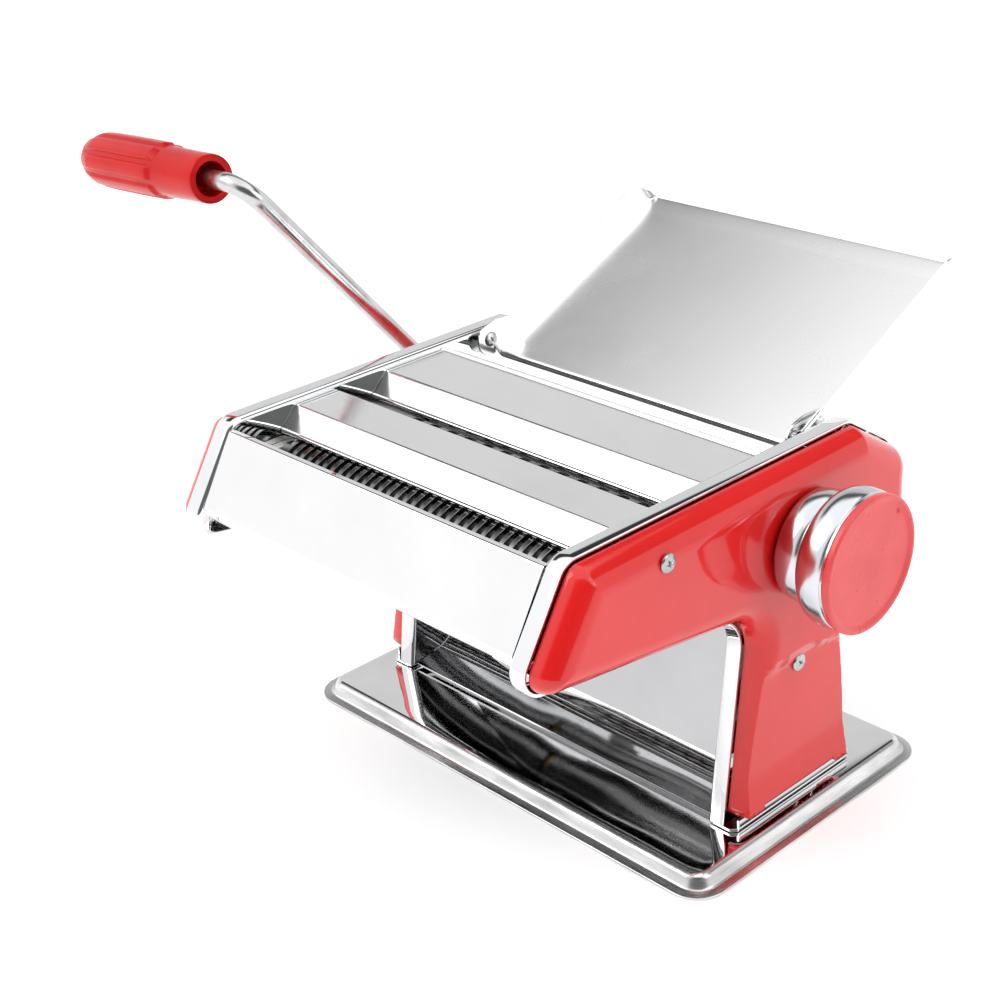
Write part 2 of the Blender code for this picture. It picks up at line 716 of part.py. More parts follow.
def make_bearing_plates(build):
    reach, half = 7.2 * MM, 6.8 * MM
    for first, second in PAIRS:
        (low_y, z), (high_y, _) = first["axis"], second["axis"]
        corners = [(low_y - reach, z - half, 5 * MM), (high_y + reach, z - half, 5 * MM),
                   (high_y + reach, z + half, 5 * MM), (low_y - reach, z + half, 5 * MM)]
        for name, side in SIDES:
            bm = prism(bmesh.new(), rounded(corners, 4), CUTTER_HALF + 0.4 * MM, SHEET_HALF)
            node = name + "_" + first["name"].split("_")[0] + "_bearing_plate"
            plate = build.add(node, sided(bm, side), "white_nylon")
            spots = [(*c["axis"], journal_radius(c, side) + GAP) for c in (first, second)]
            build.cut(plate, sided(holes(spots, 70 * MM, 78 * MM), side))
            pegs = [(*place, 1.8 * MM) for place in peg_places((first, second))]
            build.cut(plate, sided(holes(pegs, 74 * MM, 78.1 * MM), side), "UNION")


# Regulator --------------------------------------------------------------------


def detent_place():
    angle = math.radians(-60)
    radius = 14.2 * MM
    return (KNOB_Y + radius * math.cos(angle), KNOB_Z + radius * math.sin(angle))


def make_regulator(build):
    pivot = build.pivot("regulator_pivot", (0, KNOB_Y, KNOB_Z))
    centre = (KNOB_Y, KNOB_Z)
    profile = [(-86.0, 0), (-86.0, 2.2), (78.4, 2.2), (78.4, 9.5), (80.4, 9.5), (80.4, 5.0),
               (111.2, 5.0), (111.2, 8.2), (112.6, 8.2), (112.6, 0)]
    bm = turned(bmesh.new(), [(x * MM, r * MM) for x, r in profile], centre, 20)
    build.add("knob_shaft", bm, "zinc", pivot)
    for name, side in SIDES:
        bm = bmesh.new()
        ring_prism(bm, circle(ECCENTRIC_R, centre, 32),
                   circle(7.95 * MM, (FRONT_Y, KNOB_Z), 32), 76.2 * MM, 78.1 * MM)
        build.add(name + "_eccentric_bush", sided(bm, side), "brass", pivot)
    spring = coil(6.0 * MM, 0.6 * MM, 4, 102.2 * MM, 110.0 * MM, centre)
    build.add("knob_spring", spring, "zinc", pivot)
    knob = build.pivot("knob_pivot", (0, KNOB_Y, KNOB_Z), pivot)
    make_knob(build, knob, centre)
    make_detent_pin(build)


def make_knob(build, pivot, centre):
    ring = [(93.9, 17.4), (95.2, 18.4), (97.4, 19.2), (99.6, 19.4), (101.8, 19.1), (103.9, 18.2),
            (105.2, 20.4), (107.6, 22.8), (110.8, 23.7), (113.6, 23.4), (116.6, 22.8),
            (116.6, 9.5), (98.0, 9.5), (98.0, 5.3), (93.9, 5.3), (93.9, 11.8), (99.5, 11.8),
            (99.5, 16.6), (93.9, 16.6)]
    bm = turned(bmesh.new(), [(x * MM, r * MM) for x, r in ring], centre, 32, closed=True)
    build.add("knob_ring", bm, "chrome", pivot)
    cap = [(116.9, 0), (116.9, 23.2), (117.2, 23.45), (118.6, 23.4), (119.2, 22.9),
           (119.3, 22.2), (119.0, 21.3), (118.4, 20.3), (118.1, 18.0), (118.0, 0)]
    bm = turned(bmesh.new(), [(x * MM, r * MM) for x, r in cap], centre, 32)
    build.add("knob_cap", bm, "red_plastic", pivot)


def make_detent_pin(build):
    profile = [(90.0, 0), (90.0, 2.6), (91.5, 2.6), (91.5, 1.5), (96.3, 1.5), (96.8, 1.0),
               (96.8, 0)]
    bm = turned(bmesh.new(), [(x * MM, r * MM) for x, r in profile], detent_place(), 12)
    build.add("detent_pin", bm, "zinc")


def coil(radius, wire, turns, x0, x1, centre):
    """An open coil spring about a line along X."""
    steps = 12
    rings = []
    for k in range(turns * steps + 1):
        angle = 2 * math.pi * k / steps
        out = Vector((0, math.cos(angle), math.sin(angle)))
        spot = Vector((x0 + (x1 - x0) * k / (turns * steps), *centre)) + out * radius
        rings.append([spot + wire * (out * math.cos(a) + Vector((math.sin(a), 0, 0)))
                      for a in (2 * math.pi * i / 5 for i in range(5))])
    return loft(bmesh.new(), rings)


# Crank --------------------------------------------------------------------------


def crank_frame():
    """Direction of the arm, of the grip, and the corner between them."""
    arm = Vector((0, -math.sin(CRANK_LEAN), math.cos(CRANK_LEAN)))
    corner = Vector((CRANK_X, REAR_Y, ROLLER_Z)) + arm * CRANK_ARM
    grip = Vector((-math.cos(GRIP_DROOP), 0, 0)) - arm * math.sin(GRIP_DROOP)
    return arm, corner, grip


def bend_points(before, here, after, radius, steps):
    into = (before - here).normalized()
    out = (after - here).normalized()
    half = into.angle(out) / 2
    reach = radius / math.tan(half)
    centre = here + (into + out).normalized() * (radius / math.sin(half))
    axis = (here + into * reach - centre).cross(here + out * reach - centre).normalized()
    sweep = math.pi - 2 * half
    start = here + into * reach - centre
    return [centre + Matrix.Rotation(sweep * k / steps, 3, axis) @ start
            for k in range(steps + 1)]


def swept(path, radius, segments, plane_normal):
    """A round rod along a path that stays in one plane."""
    rings = []
    for i, here in enumerate(path):
        ahead = (path[min(i + 1, len(path) - 1)] - path[max(i - 1, 0)]).normalized()
        side = plane_normal.cross(ahead).normalized()
        rings.append([here + radius * (math.cos(a) * side + math.sin(a) * plane_normal)
                      for a in (2 * math.pi * k / segments for k in range(segments))])
    return loft(bmesh.new(), rings)


def along_grip(build, name, profile, finish, pivot, segments, closed=False):
    """A turned piece on the grip's axis; x in the profile is the distance from the arm."""
    arm, corner, grip = crank_frame()
    bm = turned(bmesh.new(), [(x * MM, r * MM) for x, r in profile], (0, 0), segments, closed)
    turn = Vector((1, 0, 0)).rotation_difference(grip).to_matrix().to_4x4()
    bmesh.ops.transform(bm, matrix=Matrix.Translation(corner) @ turn, verts=bm.verts)
    return build.add(name, bm, finish, pivot)


def make_crank(build):
    arm, corner, grip = crank_frame()
    pivot = build.pivot("crank_pivot", (CRANK_X, REAR_Y, ROLLER_Z), "drive_pivot")
    hub = Vector((CRANK_X, REAR_Y, ROLLER_Z))
    start = Vector((-80.0 * MM, REAR_Y, ROLLER_Z))
    end = corner + grip * 102 * MM
    path = [start] + bend_points(start, hub, corner, 10 * MM, 6)
    path += bend_points(hub, corner, end, 11 * MM, 7) + [end]
    normal = Vector((1, 0, 0)).cross(arm)
    build.add("crank_rod", swept(path, CRANK_R, 16, normal), "chrome", pivot)
    retainer = [(98.5, 3.8), (98.5, 5.1), (100.0, 5.1), (100.0, 3.8)]
    along_grip(build, "grip_retainer", retainer, "zinc", pivot, 16, closed=True)
    spin = build.pivot("grip_pivot", corner + grip * GRIP_START, pivot)
    profile = [(104.5, 0), (104.5, 5.6), (97.0, 5.6), (97.0, 3.9), (33.0, 3.9), (33.0, 6.5),
               (GRIP_START / MM, 6.5), (GRIP_START / MM, 8.0), (22.3, 8.65), (34.0, 8.4),
               (50.0, 9.2), (60.0, 10.4), (74.0, 10.9), (94.0, 10.8), (103.0, 10.2),
               (108.0, 8.2), (110.4, 4.6), (GRIP_END / MM, 0)]
    along_grip(build, "crank_grip", profile, "red_plastic", spin, 28)


# Feed tray ------------------------------------------------------------------------


def tray_point(x, along, up):
    """x across, along the slope from the lower edge, and up at right angles to the sheet."""
    slope = Vector((0, math.cos(TRAY_SLOPE), math.sin(TRAY_SLOPE)))
    normal = Vector((0, -math.sin(TRAY_SLOPE), math.cos(TRAY_SLOPE)))
    return Vector((x, *TRAY_EDGE)) + slope * along + normal * up


def tray_section(along, height, half):
    """The sheet with its two flanges, cut across the slope."""
    lean = TRAY_SPLAY * height / TRAY_FLANGE
    right = [(half, 0.0), (half + lean, height), (half + lean + SHEET, height),
             (half + SHEET * 0.9, -SHEET)]
    left = [(-x, up) for x, up in right[::-1]]
    return [tray_point(x, along, up) for x, up in left + right]


def make_tray(build):
    pivot = build.pivot("tray_pivot", (0, *TRAY_PIVOT))
    stations = [(0.0, 8.6, 71.5), (88.0, 8.6, 71.5), (92.5, 7.6, 71.5), (96.0, 5.0, 71.3),
                (98.0, 2.4, 70.6)]
    bm = loft(bmesh.new(), [tray_section(along * MM, height * MM, half * MM)
                            for along, height, half in stations])
    tray = build.add("feed_tray", bm, "sheet_steel", pivot)
    for name, side in SIDES:
        build.cut(tray, sided(lug(), side), "UNION")
        hole = holes([(*TRAY_PIVOT, 2.3 * MM)], 72.9 * MM, 76 * MM)
        build.cut(tray, sided(hole, side))
        notch = holes([(*TRAY_PIVOT, 3.7 * MM)], 74.25 * MM, 77 * MM)
        build.cut(tray, sided(notch, side))


def lug():
    """The plate that carries one end of the tray on its pivot screw."""
    centre = Vector(TRAY_PIVOT)
    slope = Vector((math.cos(TRAY_SLOPE), math.sin(TRAY_SLOPE)))
    normal = Vector((-slope.y, slope.x))
    start = math.atan2(normal.y, normal.x)
    arc = [centre + 6.4 * MM * Vector((math.cos(start + math.pi * k / 10),
                                       math.sin(start + math.pi * k / 10))) for k in range(11)]
    far = [centre + slope * 15 * MM - normal * 5.0 * MM, centre + slope * 15 * MM + normal * 0.4 * MM]
    return prism(bmesh.new(), arc + far, 73.3 * MM, 74.2 * MM)


# The whole machine ------------------------------------------------------------------


def main():
    for leftover in list(bpy.data.objects):
        bpy.data.objects.remove(leftover, do_unlink=True)
    build = Assembly()
    make_base(build)
    tabs = make_sheets(build)
    make_frames(build, tabs)
    make_covers(build)
    make_tie_rods(build)
    make_cover_screws(build)
    make_tray_screws(build)
    make_foot_bolts(build)
    make_rear_roller(build)
    make_front_roller(build)
    make_cutters(build)
    make_bearing_plates(build)
    make_regulator(build)
    make_crank(build)
    make_tray(build)


main()
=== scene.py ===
"""Looks of a hand-cranked pasta machine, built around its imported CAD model.

Shapes are drawn in the machine's own frame, in millimetres: its origin is the middle
of the base plate's under side, +X is the regulator knob's side, -X the crank's side,
-Y the front with the cutters, +Y the back with the feed tray, and +Z up.
"""

import json
import math

import bmesh
import bpy
from mathutils import Matrix, Vector
from mathutils.geometry import delaunay_2d_cdt


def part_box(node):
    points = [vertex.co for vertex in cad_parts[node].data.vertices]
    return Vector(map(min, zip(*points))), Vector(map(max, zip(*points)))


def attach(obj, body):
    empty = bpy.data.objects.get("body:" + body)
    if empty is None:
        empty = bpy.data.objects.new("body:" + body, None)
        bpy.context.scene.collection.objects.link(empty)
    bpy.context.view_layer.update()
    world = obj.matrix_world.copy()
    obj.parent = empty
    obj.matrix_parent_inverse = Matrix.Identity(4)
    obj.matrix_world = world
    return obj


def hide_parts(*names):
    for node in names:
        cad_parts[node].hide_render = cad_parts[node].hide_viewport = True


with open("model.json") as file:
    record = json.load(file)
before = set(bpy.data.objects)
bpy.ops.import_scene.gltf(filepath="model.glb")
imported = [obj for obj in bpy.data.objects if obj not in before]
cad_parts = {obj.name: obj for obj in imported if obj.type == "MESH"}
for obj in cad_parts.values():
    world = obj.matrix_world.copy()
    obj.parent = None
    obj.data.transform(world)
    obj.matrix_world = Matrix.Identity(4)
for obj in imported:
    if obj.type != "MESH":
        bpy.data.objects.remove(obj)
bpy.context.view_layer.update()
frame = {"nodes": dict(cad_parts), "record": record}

MM = 0.001
BASE_LOW, BASE_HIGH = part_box("base_plate")
ORIGIN = Vector(((BASE_LOW.x + BASE_HIGH.x) / 2, (BASE_LOW.y + BASE_HIGH.y) / 2, BASE_LOW.z))
SIDES = (("left", -1), ("right", 1))

# Base plate.
BASE_HALF_X, BASE_HALF_Y = 101.1, 63.8
BASE_TOP = 6.0

# Side frames and their covers.
FRAME_X, WEB, FLANGE_X = 76.5, 1.2, 83.5
FRAME_TOP = 137.5
FOOT_Z = BASE_TOP + 0.3
FRAME_OUTLINE = [
    (-31.5, FOOT_Z, 1.0), (31.0, FOOT_Z, 1.0), (24.0, 76.0, 12.0), (60.0, 84.5, 9.0),
    (59.5, 121.0, 12.0), (33.0, FRAME_TOP, 6.0), (-103.4, FRAME_TOP, 8.0),
    (-127.3, 99.3, 8.0), (-21.9, 85.3, 13.0),
]
COVER_X, COVER_FACE, PANEL_FACE, COVER_INNER = FLANGE_X + 0.3, 93.0, 91.0, 89.5
COVER_BOTTOM, NOTCH_TOP = 12.6, 14.1
COVER_SCREWS = {"upper": (-70.3, 127.5), "lower": (-1.8, 62.4)}

# Rollers, cutters and the regulator.
REAR_AXIS, KNOB_AXIS, FRONT_AXIS = (22.0, 107.8), (-2.8, 109.0), (-4.1, 109.0)
ROLLER_R, ROLLER_HALF, JOURNAL_R = 11.7, 74.6, 5.2
CUTTER_HALF = 71.9
CUTTERS = {  # axis, disc radius, core radius, pitch and whether a disc sits in the middle
    "narrow_front": ((-101.6, 116.5), 9.8, 8.0, 4.15, True),
    "narrow_rear": ((-82.8, 116.5), 9.8, 8.0, 4.15, False),
    "wide_front": ((-59.9, 112.0), 10.8, 8.8, 9.1, True),
    "wide_rear": ((-39.7, 112.0), 10.8, 8.8, 9.1, False),
}
DRIVEN = ("narrow_rear", "wide_rear")
SOCKET_R, CUTTER_JOURNAL_R = 3.9, 4.0

# Crank.
CRANK_X, CRANK_LEAN, CRANK_ARM, CRANK_R = -111.0, math.radians(41.2), 130.6, 3.5
GRIP_DROOP, GRIP_START, GRIP_END = math.radians(6.1), 21.5, 111.0

# Sheet pieces.
SHEET, SHEET_HALF = 0.8, 76.2

# Feed tray.
TRAY_PIVOT, TRAY_EDGE = (17.3, 133.3), (20.8, 126.2)
TRAY_SLOPE, TRAY_STRAIGHT, TRAY_CORNER, TRAY_HALF = math.radians(26.0), 88.0, 10.0, 71.5
TRAY_FLANGE, TRAY_SPLAY = 8.6, 3.0


# Materials ------------------------------------------------------------------


class Nodes:
    """Short names for the nodes of one material."""

    def __init__(self, name):
        self.material = bpy.data.materials.new(name)
        self.material.use_nodes = True
        self.tree = self.material.node_tree
        self.shader = self.tree.nodes["Principled BSDF"]

    def add(self, kind, **values):
        node = self.tree.nodes.new("ShaderNode" + kind)
        for key, value in values.items():
            if hasattr(node, key):
                setattr(node, key, value)
            else:
                node.inputs[key.replace("_", " ")].default_value = value
        return node

    def link(self, out, to):
        self.tree.links.new(out, to)

    def place(self, stretch=(1, 1, 1)):
        """Object coordinates, stretched along the axes."""
        coordinates = self.add("TexCoord")
        mapping = self.add("Mapping")
        mapping.inputs["Scale"].default_value = stretch
        self.link(coordinates.outputs["Object"], mapping.inputs["Vector"])
        return mapping.outputs["Vector"]

    def noise(self, scale, detail=4.0, roughness=0.5, stretch=(1, 1, 1)):
        texture = self.add("TexNoise")
        texture.inputs["Scale"].default_value = scale
        texture.inputs["Detail"].default_value = detail
        texture.inputs["Roughness"].default_value = roughness
        self.link(self.place(stretch), texture.inputs["Vector"])
        return texture.outputs["Fac"]

    def spread(self, value, low, high, start=0.3, end=0.7):
        """Maps a noise value to a range."""
        node = self.add("MapRange")
        for socket, number in (("From Min", start), ("From Max", end), ("To Min", low),
                               ("To Max", high)):
            node.inputs[socket].default_value = number
        self.link(value, node.inputs["Value"])
        return node.outputs["Result"]

    def mixed(self, value, first, second):
        node = self.add("Mix", data_type="RGBA")
        node.inputs["A"].default_value = (*first, 1)
        node.inputs["B"].default_value = (*second, 1)
        self.link(value, node.inputs["Factor"])
        return node.outputs["Result"]

    def bumps(self, *layers):
        """Each layer is a noise value, a strength and a height in millimetres."""
        normal = None
        for value, strength, height in layers:
            node = self.add("Bump")
            node.inputs["Strength"].default_value = strength
            node.inputs["Distance"].default_value = height * MM
            self.link(value, node.inputs["Height"])
            if normal is not None:
                self.link(normal, node.inputs["Normal"])
            normal = node.outputs["Normal"]
        self.link(normal, self.shader.inputs["Normal"])
        return normal


def metal(name, dark, light, rough, smudge=18.0, grain=None, wave=(9.0, 0.25, 0.25)):
    """Plated or polished steel: smudged tone and roughness, a fine grain and slow waves."""
    nodes = Nodes(name)
    nodes.shader.inputs["Metallic"].default_value = 1.0
    smudges = nodes.noise(smudge, detail=6.0, roughness=0.6)
    nodes.link(nodes.mixed(nodes.spread(smudges, 0, 1), dark, light),
               nodes.shader.inputs["Base Color"])
    nodes.link(nodes.spread(nodes.noise(smudge * 2.3, detail=8.0, roughness=0.65), *rough),
               nodes.shader.inputs["Roughness"])
    layers = [(nodes.noise(wave[0], detail=1.0), wave[1], wave[2])]
    if grain:
        scale, stretch, strength = grain
        layers.append((nodes.noise(scale, detail=3.0, stretch=stretch), strength, 0.05))
    nodes.bumps(*layers)
    return nodes.material


def rim_metal(name, dark, light, rough):
    """Satin steel whose streaks follow the rim; the mesh carries the place along the rim."""
    nodes = Nodes(name)
    nodes.shader.inputs["Metallic"].default_value = 1.0
    where = nodes.add("Attribute", attribute_name="along_rim").outputs["Vector"]
    streaks = []
    for stretch, detail in (((12, 900, 1), 3.0), ((40, 160, 1), 5.0)):
        mapping = nodes.add("Mapping")
        mapping.inputs["Scale"].default_value = stretch
        nodes.link(where, mapping.inputs["Vector"])
        texture = nodes.add("TexNoise")
        texture.inputs["Scale"].default_value = 1.0
        texture.inputs["Detail"].default_value = detail
        nodes.link(mapping.outputs["Vector"], texture.inputs["Vector"])
        streaks.append(texture.outputs["Fac"])
    nodes.link(nodes.mixed(nodes.spread(streaks[1], 0, 1), dark, light),
               nodes.shader.inputs["Base Color"])
    nodes.link(nodes.spread(streaks[0], *rough), nodes.shader.inputs["Roughness"])
    nodes.bumps((streaks[0], 0.25, 0.05), (streaks[1], 0.3, 0.2))
    return nodes.material


def enamel(name, deep, bright):
    """Thick glossy paint: colour under a clear coat with a faint orange peel."""
    nodes = Nodes(name)
    nodes.shader.inputs["Roughness"].default_value = 0.38
    nodes.shader.inputs["Specular IOR Level"].default_value = 0.2
    nodes.shader.inputs["Coat Weight"].default_value = 1.0
    nodes.shader.inputs["Coat Roughness"].default_value = 0.035
    nodes.shader.inputs["Coat IOR"].default_value = 1.48
    tone = nodes.spread(nodes.noise(30.0, detail=5.0), 0, 1)
    nodes.link(nodes.mixed(tone, deep, bright), nodes.shader.inputs["Base Color"])
    peel = nodes.bumps((nodes.noise(14.0, detail=1.0), 0.2, 0.35),
                       (nodes.noise(420.0, detail=2.0), 0.12, 0.02))
    nodes.link(peel, nodes.shader.inputs["Coat Normal"])
    return nodes.material


def plastic(name, deep, bright, rough, gloss=0.5):
    nodes = Nodes(name)
    tone = nodes.spread(nodes.noise(60.0, detail=6.0), 0, 1)
    nodes.link(nodes.mixed(tone, deep, bright), nodes.shader.inputs["Base Color"])
    nodes.link(nodes.spread(nodes.noise(150.0, detail=6.0), *rough),
               nodes.shader.inputs["Roughness"])
    nodes.shader.inputs["Specular IOR Level"].default_value = gloss
    nodes.bumps((nodes.noise(900.0, detail=3.0), 0.04, 0.01))
    return nodes.material


MATERIALS = {
    "chrome": metal("chrome_plate", (0.82, 0.83, 0.84), (0.90, 0.91, 0.92), (0.02, 0.05)),
    "satin_chrome": metal("satin_chrome", (0.58, 0.60, 0.63), (0.72, 0.74, 0.77), (0.14, 0.22)),
    "base_steel": rim_metal("satin_base_rim", (0.48, 0.48, 0.48), (0.88, 0.88, 0.88),
                            (0.20, 0.34)),
    "plateau_steel": metal("polished_base_steel", (0.76, 0.76, 0.76), (0.88, 0.88, 0.88),
                           (0.02, 0.06), wave=(18.0, 0.5, 0.6)),
    "sheet_steel": metal("satin_sheet_steel", (0.86, 0.86, 0.86), (0.91, 0.91, 0.91),
                         (0.10, 0.22), grain=(1400.0, (0.03, 1, 1), 0.18)),
    "tray_steel": metal("satin_tray_steel", (0.90, 0.90, 0.90), (0.94, 0.94, 0.94),
                        (0.24, 0.29), smudge=9.0, grain=(1400.0, (0.03, 1, 1), 0.08)),
    "mirror_sheet": metal("bright_sheet_steel", (0.86, 0.86, 0.87), (0.92, 0.92, 0.93),
                          (0.02, 0.06), wave=(14.0, 0.3, 0.3)),
    # The chute's grey base colour, far darker than the other bright steel, is painted shade for
    # the dark inside of the machine.
    "chute_sheet": metal("chute_sheet", (0.54, 0.54, 0.55), (0.60, 0.60, 0.61), (0.03, 0.07),
                         wave=(16.0, 0.5, 0.6)),
    # The rod's darker grey base colour is painted shade: it gives the bar grey, shaded sides
    # against the white room.
    "rod_steel": metal("rod_plating_painted_shade", (0.46, 0.46, 0.47), (0.66, 0.66, 0.67), (0.14, 0.30),
                       smudge=70.0),
    # The rollers' dark grey base colour is painted shade for the dark slot they sit in under the
    # tray and fender.
    "roller_steel": metal("roller_steel_painted_shade", (0.16, 0.16, 0.16), (0.26, 0.26, 0.26),
                          (0.16, 0.30), grain=(2000.0, (1, 0.05, 0.05), 0.2)),
    # The cutter discs' near-black base colour is painted shade for the dark space under the guard
    # and fenders.
    "cutter_steel": metal("cutter_steel_painted_shade", (0.13, 0.13, 0.13), (0.24, 0.24, 0.24),
                          (0.14, 0.28), smudge=60.0),
    "gear_steel": metal("oiled_gear_steel", (0.24, 0.24, 0.25), (0.38, 0.37, 0.36),
                        (0.30, 0.45), smudge=120.0),
    "brass": metal("turned_brass", (0.60, 0.42, 0.16), (0.76, 0.56, 0.26), (0.2, 0.35),
                   smudge=90.0, grain=(2500.0, (0.05, 1, 1), 0.2)),
    "zinc": metal("bright_zinc", (0.40, 0.41, 0.42), (0.56, 0.57, 0.58), (0.16, 0.30),
                  smudge=160.0),
    "red_paint": enamel("red_enamel", (0.70, 0.005, 0.005), (0.78, 0.010, 0.009)),
    "red_plastic": plastic("red_moulded_plastic", (0.54, 0.004, 0.004), (0.62, 0.007, 0.007),
                           (0.16, 0.26), gloss=0.16),
    "red_cap": plastic("red_knob_cap", (0.72, 0.06, 0.065), (0.80, 0.085, 0.09), (0.26, 0.38)),
    "red_dot": plastic("red_index_dot", (0.52, 0.012, 0.014), (0.60, 0.02, 0.022), (0.28, 0.4)),
    "white_nylon": plastic("white_nylon", (0.70, 0.69, 0.64), (0.78, 0.77, 0.72), (0.4, 0.55)),
}


# Outlines -------------------------------------------------------------------


def shifted(corners, inset):
    """The corners of a closed anticlockwise outline, each side moved inwards by inset."""
    moved = []
    count = len(corners)
    for i, (y, z, radius) in enumerate(corners):
        here = Vector((y, z))
        into = (here - Vector(corners[i - 1][:2])).normalized()
        out = (Vector(corners[(i + 1) % count][:2]) - here).normalized()
        turn = into.x * out.y - into.y * out.x
        normal_in = Vector((-into.y, into.x))
        normal_out = Vector((-out.y, out.x))
        mitre = (normal_in + normal_out) / (1.0 + normal_in.dot(normal_out))
        spot = here + mitre * inset
        radius = radius - inset if turn > 0 else radius + inset
        moved.append((spot.x, spot.y, max(radius, 0.15)))
    return moved


def fillet(before, here, after, radius, steps):
    into = (before - here).normalized()
    out = (after - here).normalized()
    half = into.angle(out) / 2
    reach = radius / math.tan(half)
    centre = here + (into + out).normalized() * (radius / math.sin(half))
    start = here + into * reach - centre
    sweep = start.angle_signed(here + out * reach - centre)
    return [centre + Matrix.Rotation(-sweep * k / steps, 2) @ start for k in range(steps + 1)]


def rounded(corners, steps=10):
    spots = [Vector(corner[:2]) for corner in corners]
    points = []
    for i, corner in enumerate(corners):
        following = spots[(i + 1) % len(spots)]
        points += fillet(spots[i - 1], spots[i], following, corner[2], steps)
    return points


def rounded_path(corners, steps=8):
    """An open path; each corner is (a, b, radius)."""
    spots = [Vector(corner[:2]) for corner in corners]
    points = [spots[0]]
    for i in range(1, len(spots) - 1):
        if corners[i][2] > 0:
            points += fillet(spots[i - 1], spots[i], spots[i + 1], corners[i][2], steps)
        else:
            points.append(spots[i])
    return points + [spots[-1]]


def offset_path(path, distance):
    """The path moved to its right-hand side."""
    moved = []
    for i, here in enumerate(path):
        into = (here - path[i - 1]).normalized() if i else None
        out = (path[i + 1] - here).normalized() if i + 1 < len(path) else None
        into = into or out
        out = out or into
        normal_in = Vector((into.y, -into.x))
        normal_out = Vector((out.y, -out.x))
        mitre = (normal_in + normal_out) / (1.0 + normal_in.dot(normal_out))
        moved.append(here + mitre * distance)
    return moved


def circle(radius, centre, count, start=0.0):
    step = 2 * math.pi / count
    angles = [start + step * i for i in range(count)]
    return [Vector(centre) + radius * Vector((math.cos(a), math.sin(a))) for a in angles]


def inside(point, loop):
    """Even-odd test of a point against a closed loop."""
    found = False
    for i, here in enumerate(loop):
        last = loop[i - 1]
        if (here.y > point.y) != (last.y > point.y):
            cross = (last.x - here.x) * (point.y - here.y) / (last.y - here.y) + here.x
            if point.x < cross:
                found = not found
    return found


# Meshes ---------------------------------------------------------------------


def loft(bm, rings, closed=False, caps=True):
    """Joins rings of equally many points and returns the rings' vertices."""
    loops = [[bm.verts.new(point) for point in ring] for ring in rings]
    count = len(loops[0])
    pairs = list(zip(loops, loops[1:]))
    if closed:
        pairs.append((loops[-1], loops[0]))
    for first, second in pairs:
        for i in range(count):
            j = (i + 1) % count
            bm.faces.new((first[i], first[j], second[j], second[i]))
    if caps and not closed:
        bm.faces.new(loops[0])
        bm.faces.new(loops[-1][::-1])
    return loops


def at_x(outline, x):
    return [Vector((x, point.x, point.y)) for point in outline]


def turned(bm, profile, centre, segments=64, closed=False):
    """Spins a profile of (x, radius) about the line through centre along X."""
    verts = [bm.verts.new((x, centre[0], centre[1] + radius)) for x, radius in profile]
    ends = list(zip(verts, verts[1:]))
    if closed:
        ends.append((verts[-1], verts[0]))
    edges = [bm.edges.new(pair) for pair in ends]
    bmesh.ops.spin(bm, geom=verts + edges, cent=(0, *centre), axis=(1, 0, 0),
                   angle=2 * math.pi, steps=segments, use_merge=True)
    bmesh.ops.remove_doubles(bm, verts=bm.verts, dist=0.001)
    bmesh.ops.dissolve_degenerate(bm, edges=bm.edges, dist=0.001)
    return bm


def fill(bm, ring, holes, height, points=(), creases=()):
    """Fills a ring of vertices, less its holes, with triangles; height gives x at (y, z)."""
    loops = [[Vector(vert.co.yz) for vert in loop] for loop in (ring, *holes)]
    verts = [vert for loop in (ring, *holes) for vert in loop]
    spots = [spot for loop in loops for spot in loop]
    edges = []
    start = 0
    for loop in loops:
        edges += [(start + i, start + (i + 1) % len(loop)) for i in range(len(loop))]
        start += len(loop)
    for line in creases:
        edges += [(start + i, start + i + 1) for i in range(len(line) - 1)]
        spots += line
        start += len(line)
    spots += list(points)
    made = delaunay_2d_cdt(spots, edges, [], 0, 1e-5)
    placed = []
    for spot, origins in zip(made[0], made[3]):
        known = [origin for origin in origins if origin < len(verts)]
        placed.append(verts[known[0]] if known else bm.verts.new((height(*spot), *spot)))
    for triangle in made[2]:
        middle = sum((made[0][i] for i in triangle), Vector((0, 0))) / 3
        if inside(middle, loops[0]) and not any(inside(middle, loop) for loop in loops[1:]):
            corners = [placed[i] for i in triangle]
            if len(set(corners)) == 3:
                bm.faces.new(corners)


def sided(bm, side):
    if side < 0:
        bmesh.ops.scale(bm, verts=bm.verts, vec=(-1, 1, 1))
    return bm


def piece(name, bm, finish, body, replaced=(), bevel=0.0, sharp=35):
    """Makes a piece of a mesh drawn in the machine's frame, and lets it ride on a body."""
    bmesh.ops.remove_doubles(bm, verts=bm.verts, dist=0.0005)
    bmesh.ops.recalc_face_normals(bm, faces=bm.faces)
    bmesh.ops.scale(bm, verts=bm.verts, vec=(MM, MM, MM))
    bmesh.ops.translate(bm, verts=bm.verts, vec=ORIGIN)
    mesh = bpy.data.meshes.new(name)
    bm.to_mesh(mesh)
    bm.free()
    mesh.materials.append(MATERIALS[finish])
    mesh.shade_smooth()
    made = bpy.data.objects.new(name, mesh)
    bpy.context.scene.collection.objects.link(made)
    if bevel:
        rounding = made.modifiers.new("edges", "BEVEL")
        rounding.width = bevel * MM
        rounding.segments = 2
        rounding.limit_method = "ANGLE"
        rounding.angle_limit = math.radians(40)
        rounding.use_clamp_overlap = True
        made.modifiers.new("shading", "WEIGHTED_NORMAL").keep_sharp = True
    else:
        mesh.set_sharp_from_angle(angle=math.radians(sharp))
    if body:
        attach(made, body)
    if replaced:
        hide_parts(*replaced)
    return made


def cut(target, bm):
    """Cuts a hidden helper from a piece, before its bevel."""
    helper = piece(target.name + "_cutter_" + str(len(target.modifiers)), bm, "zinc", None)
    helper.hide_render = True
    helper.hide_viewport = True
    modifier = target.modifiers.new("cut", "BOOLEAN")
    modifier.object = helper
    modifier.operation = "DIFFERENCE"
    modifier.solver = "EXACT"
    target.modifiers.move(len(target.modifiers) - 1, 0)


# Base, frames and covers ----------------------------------------------------


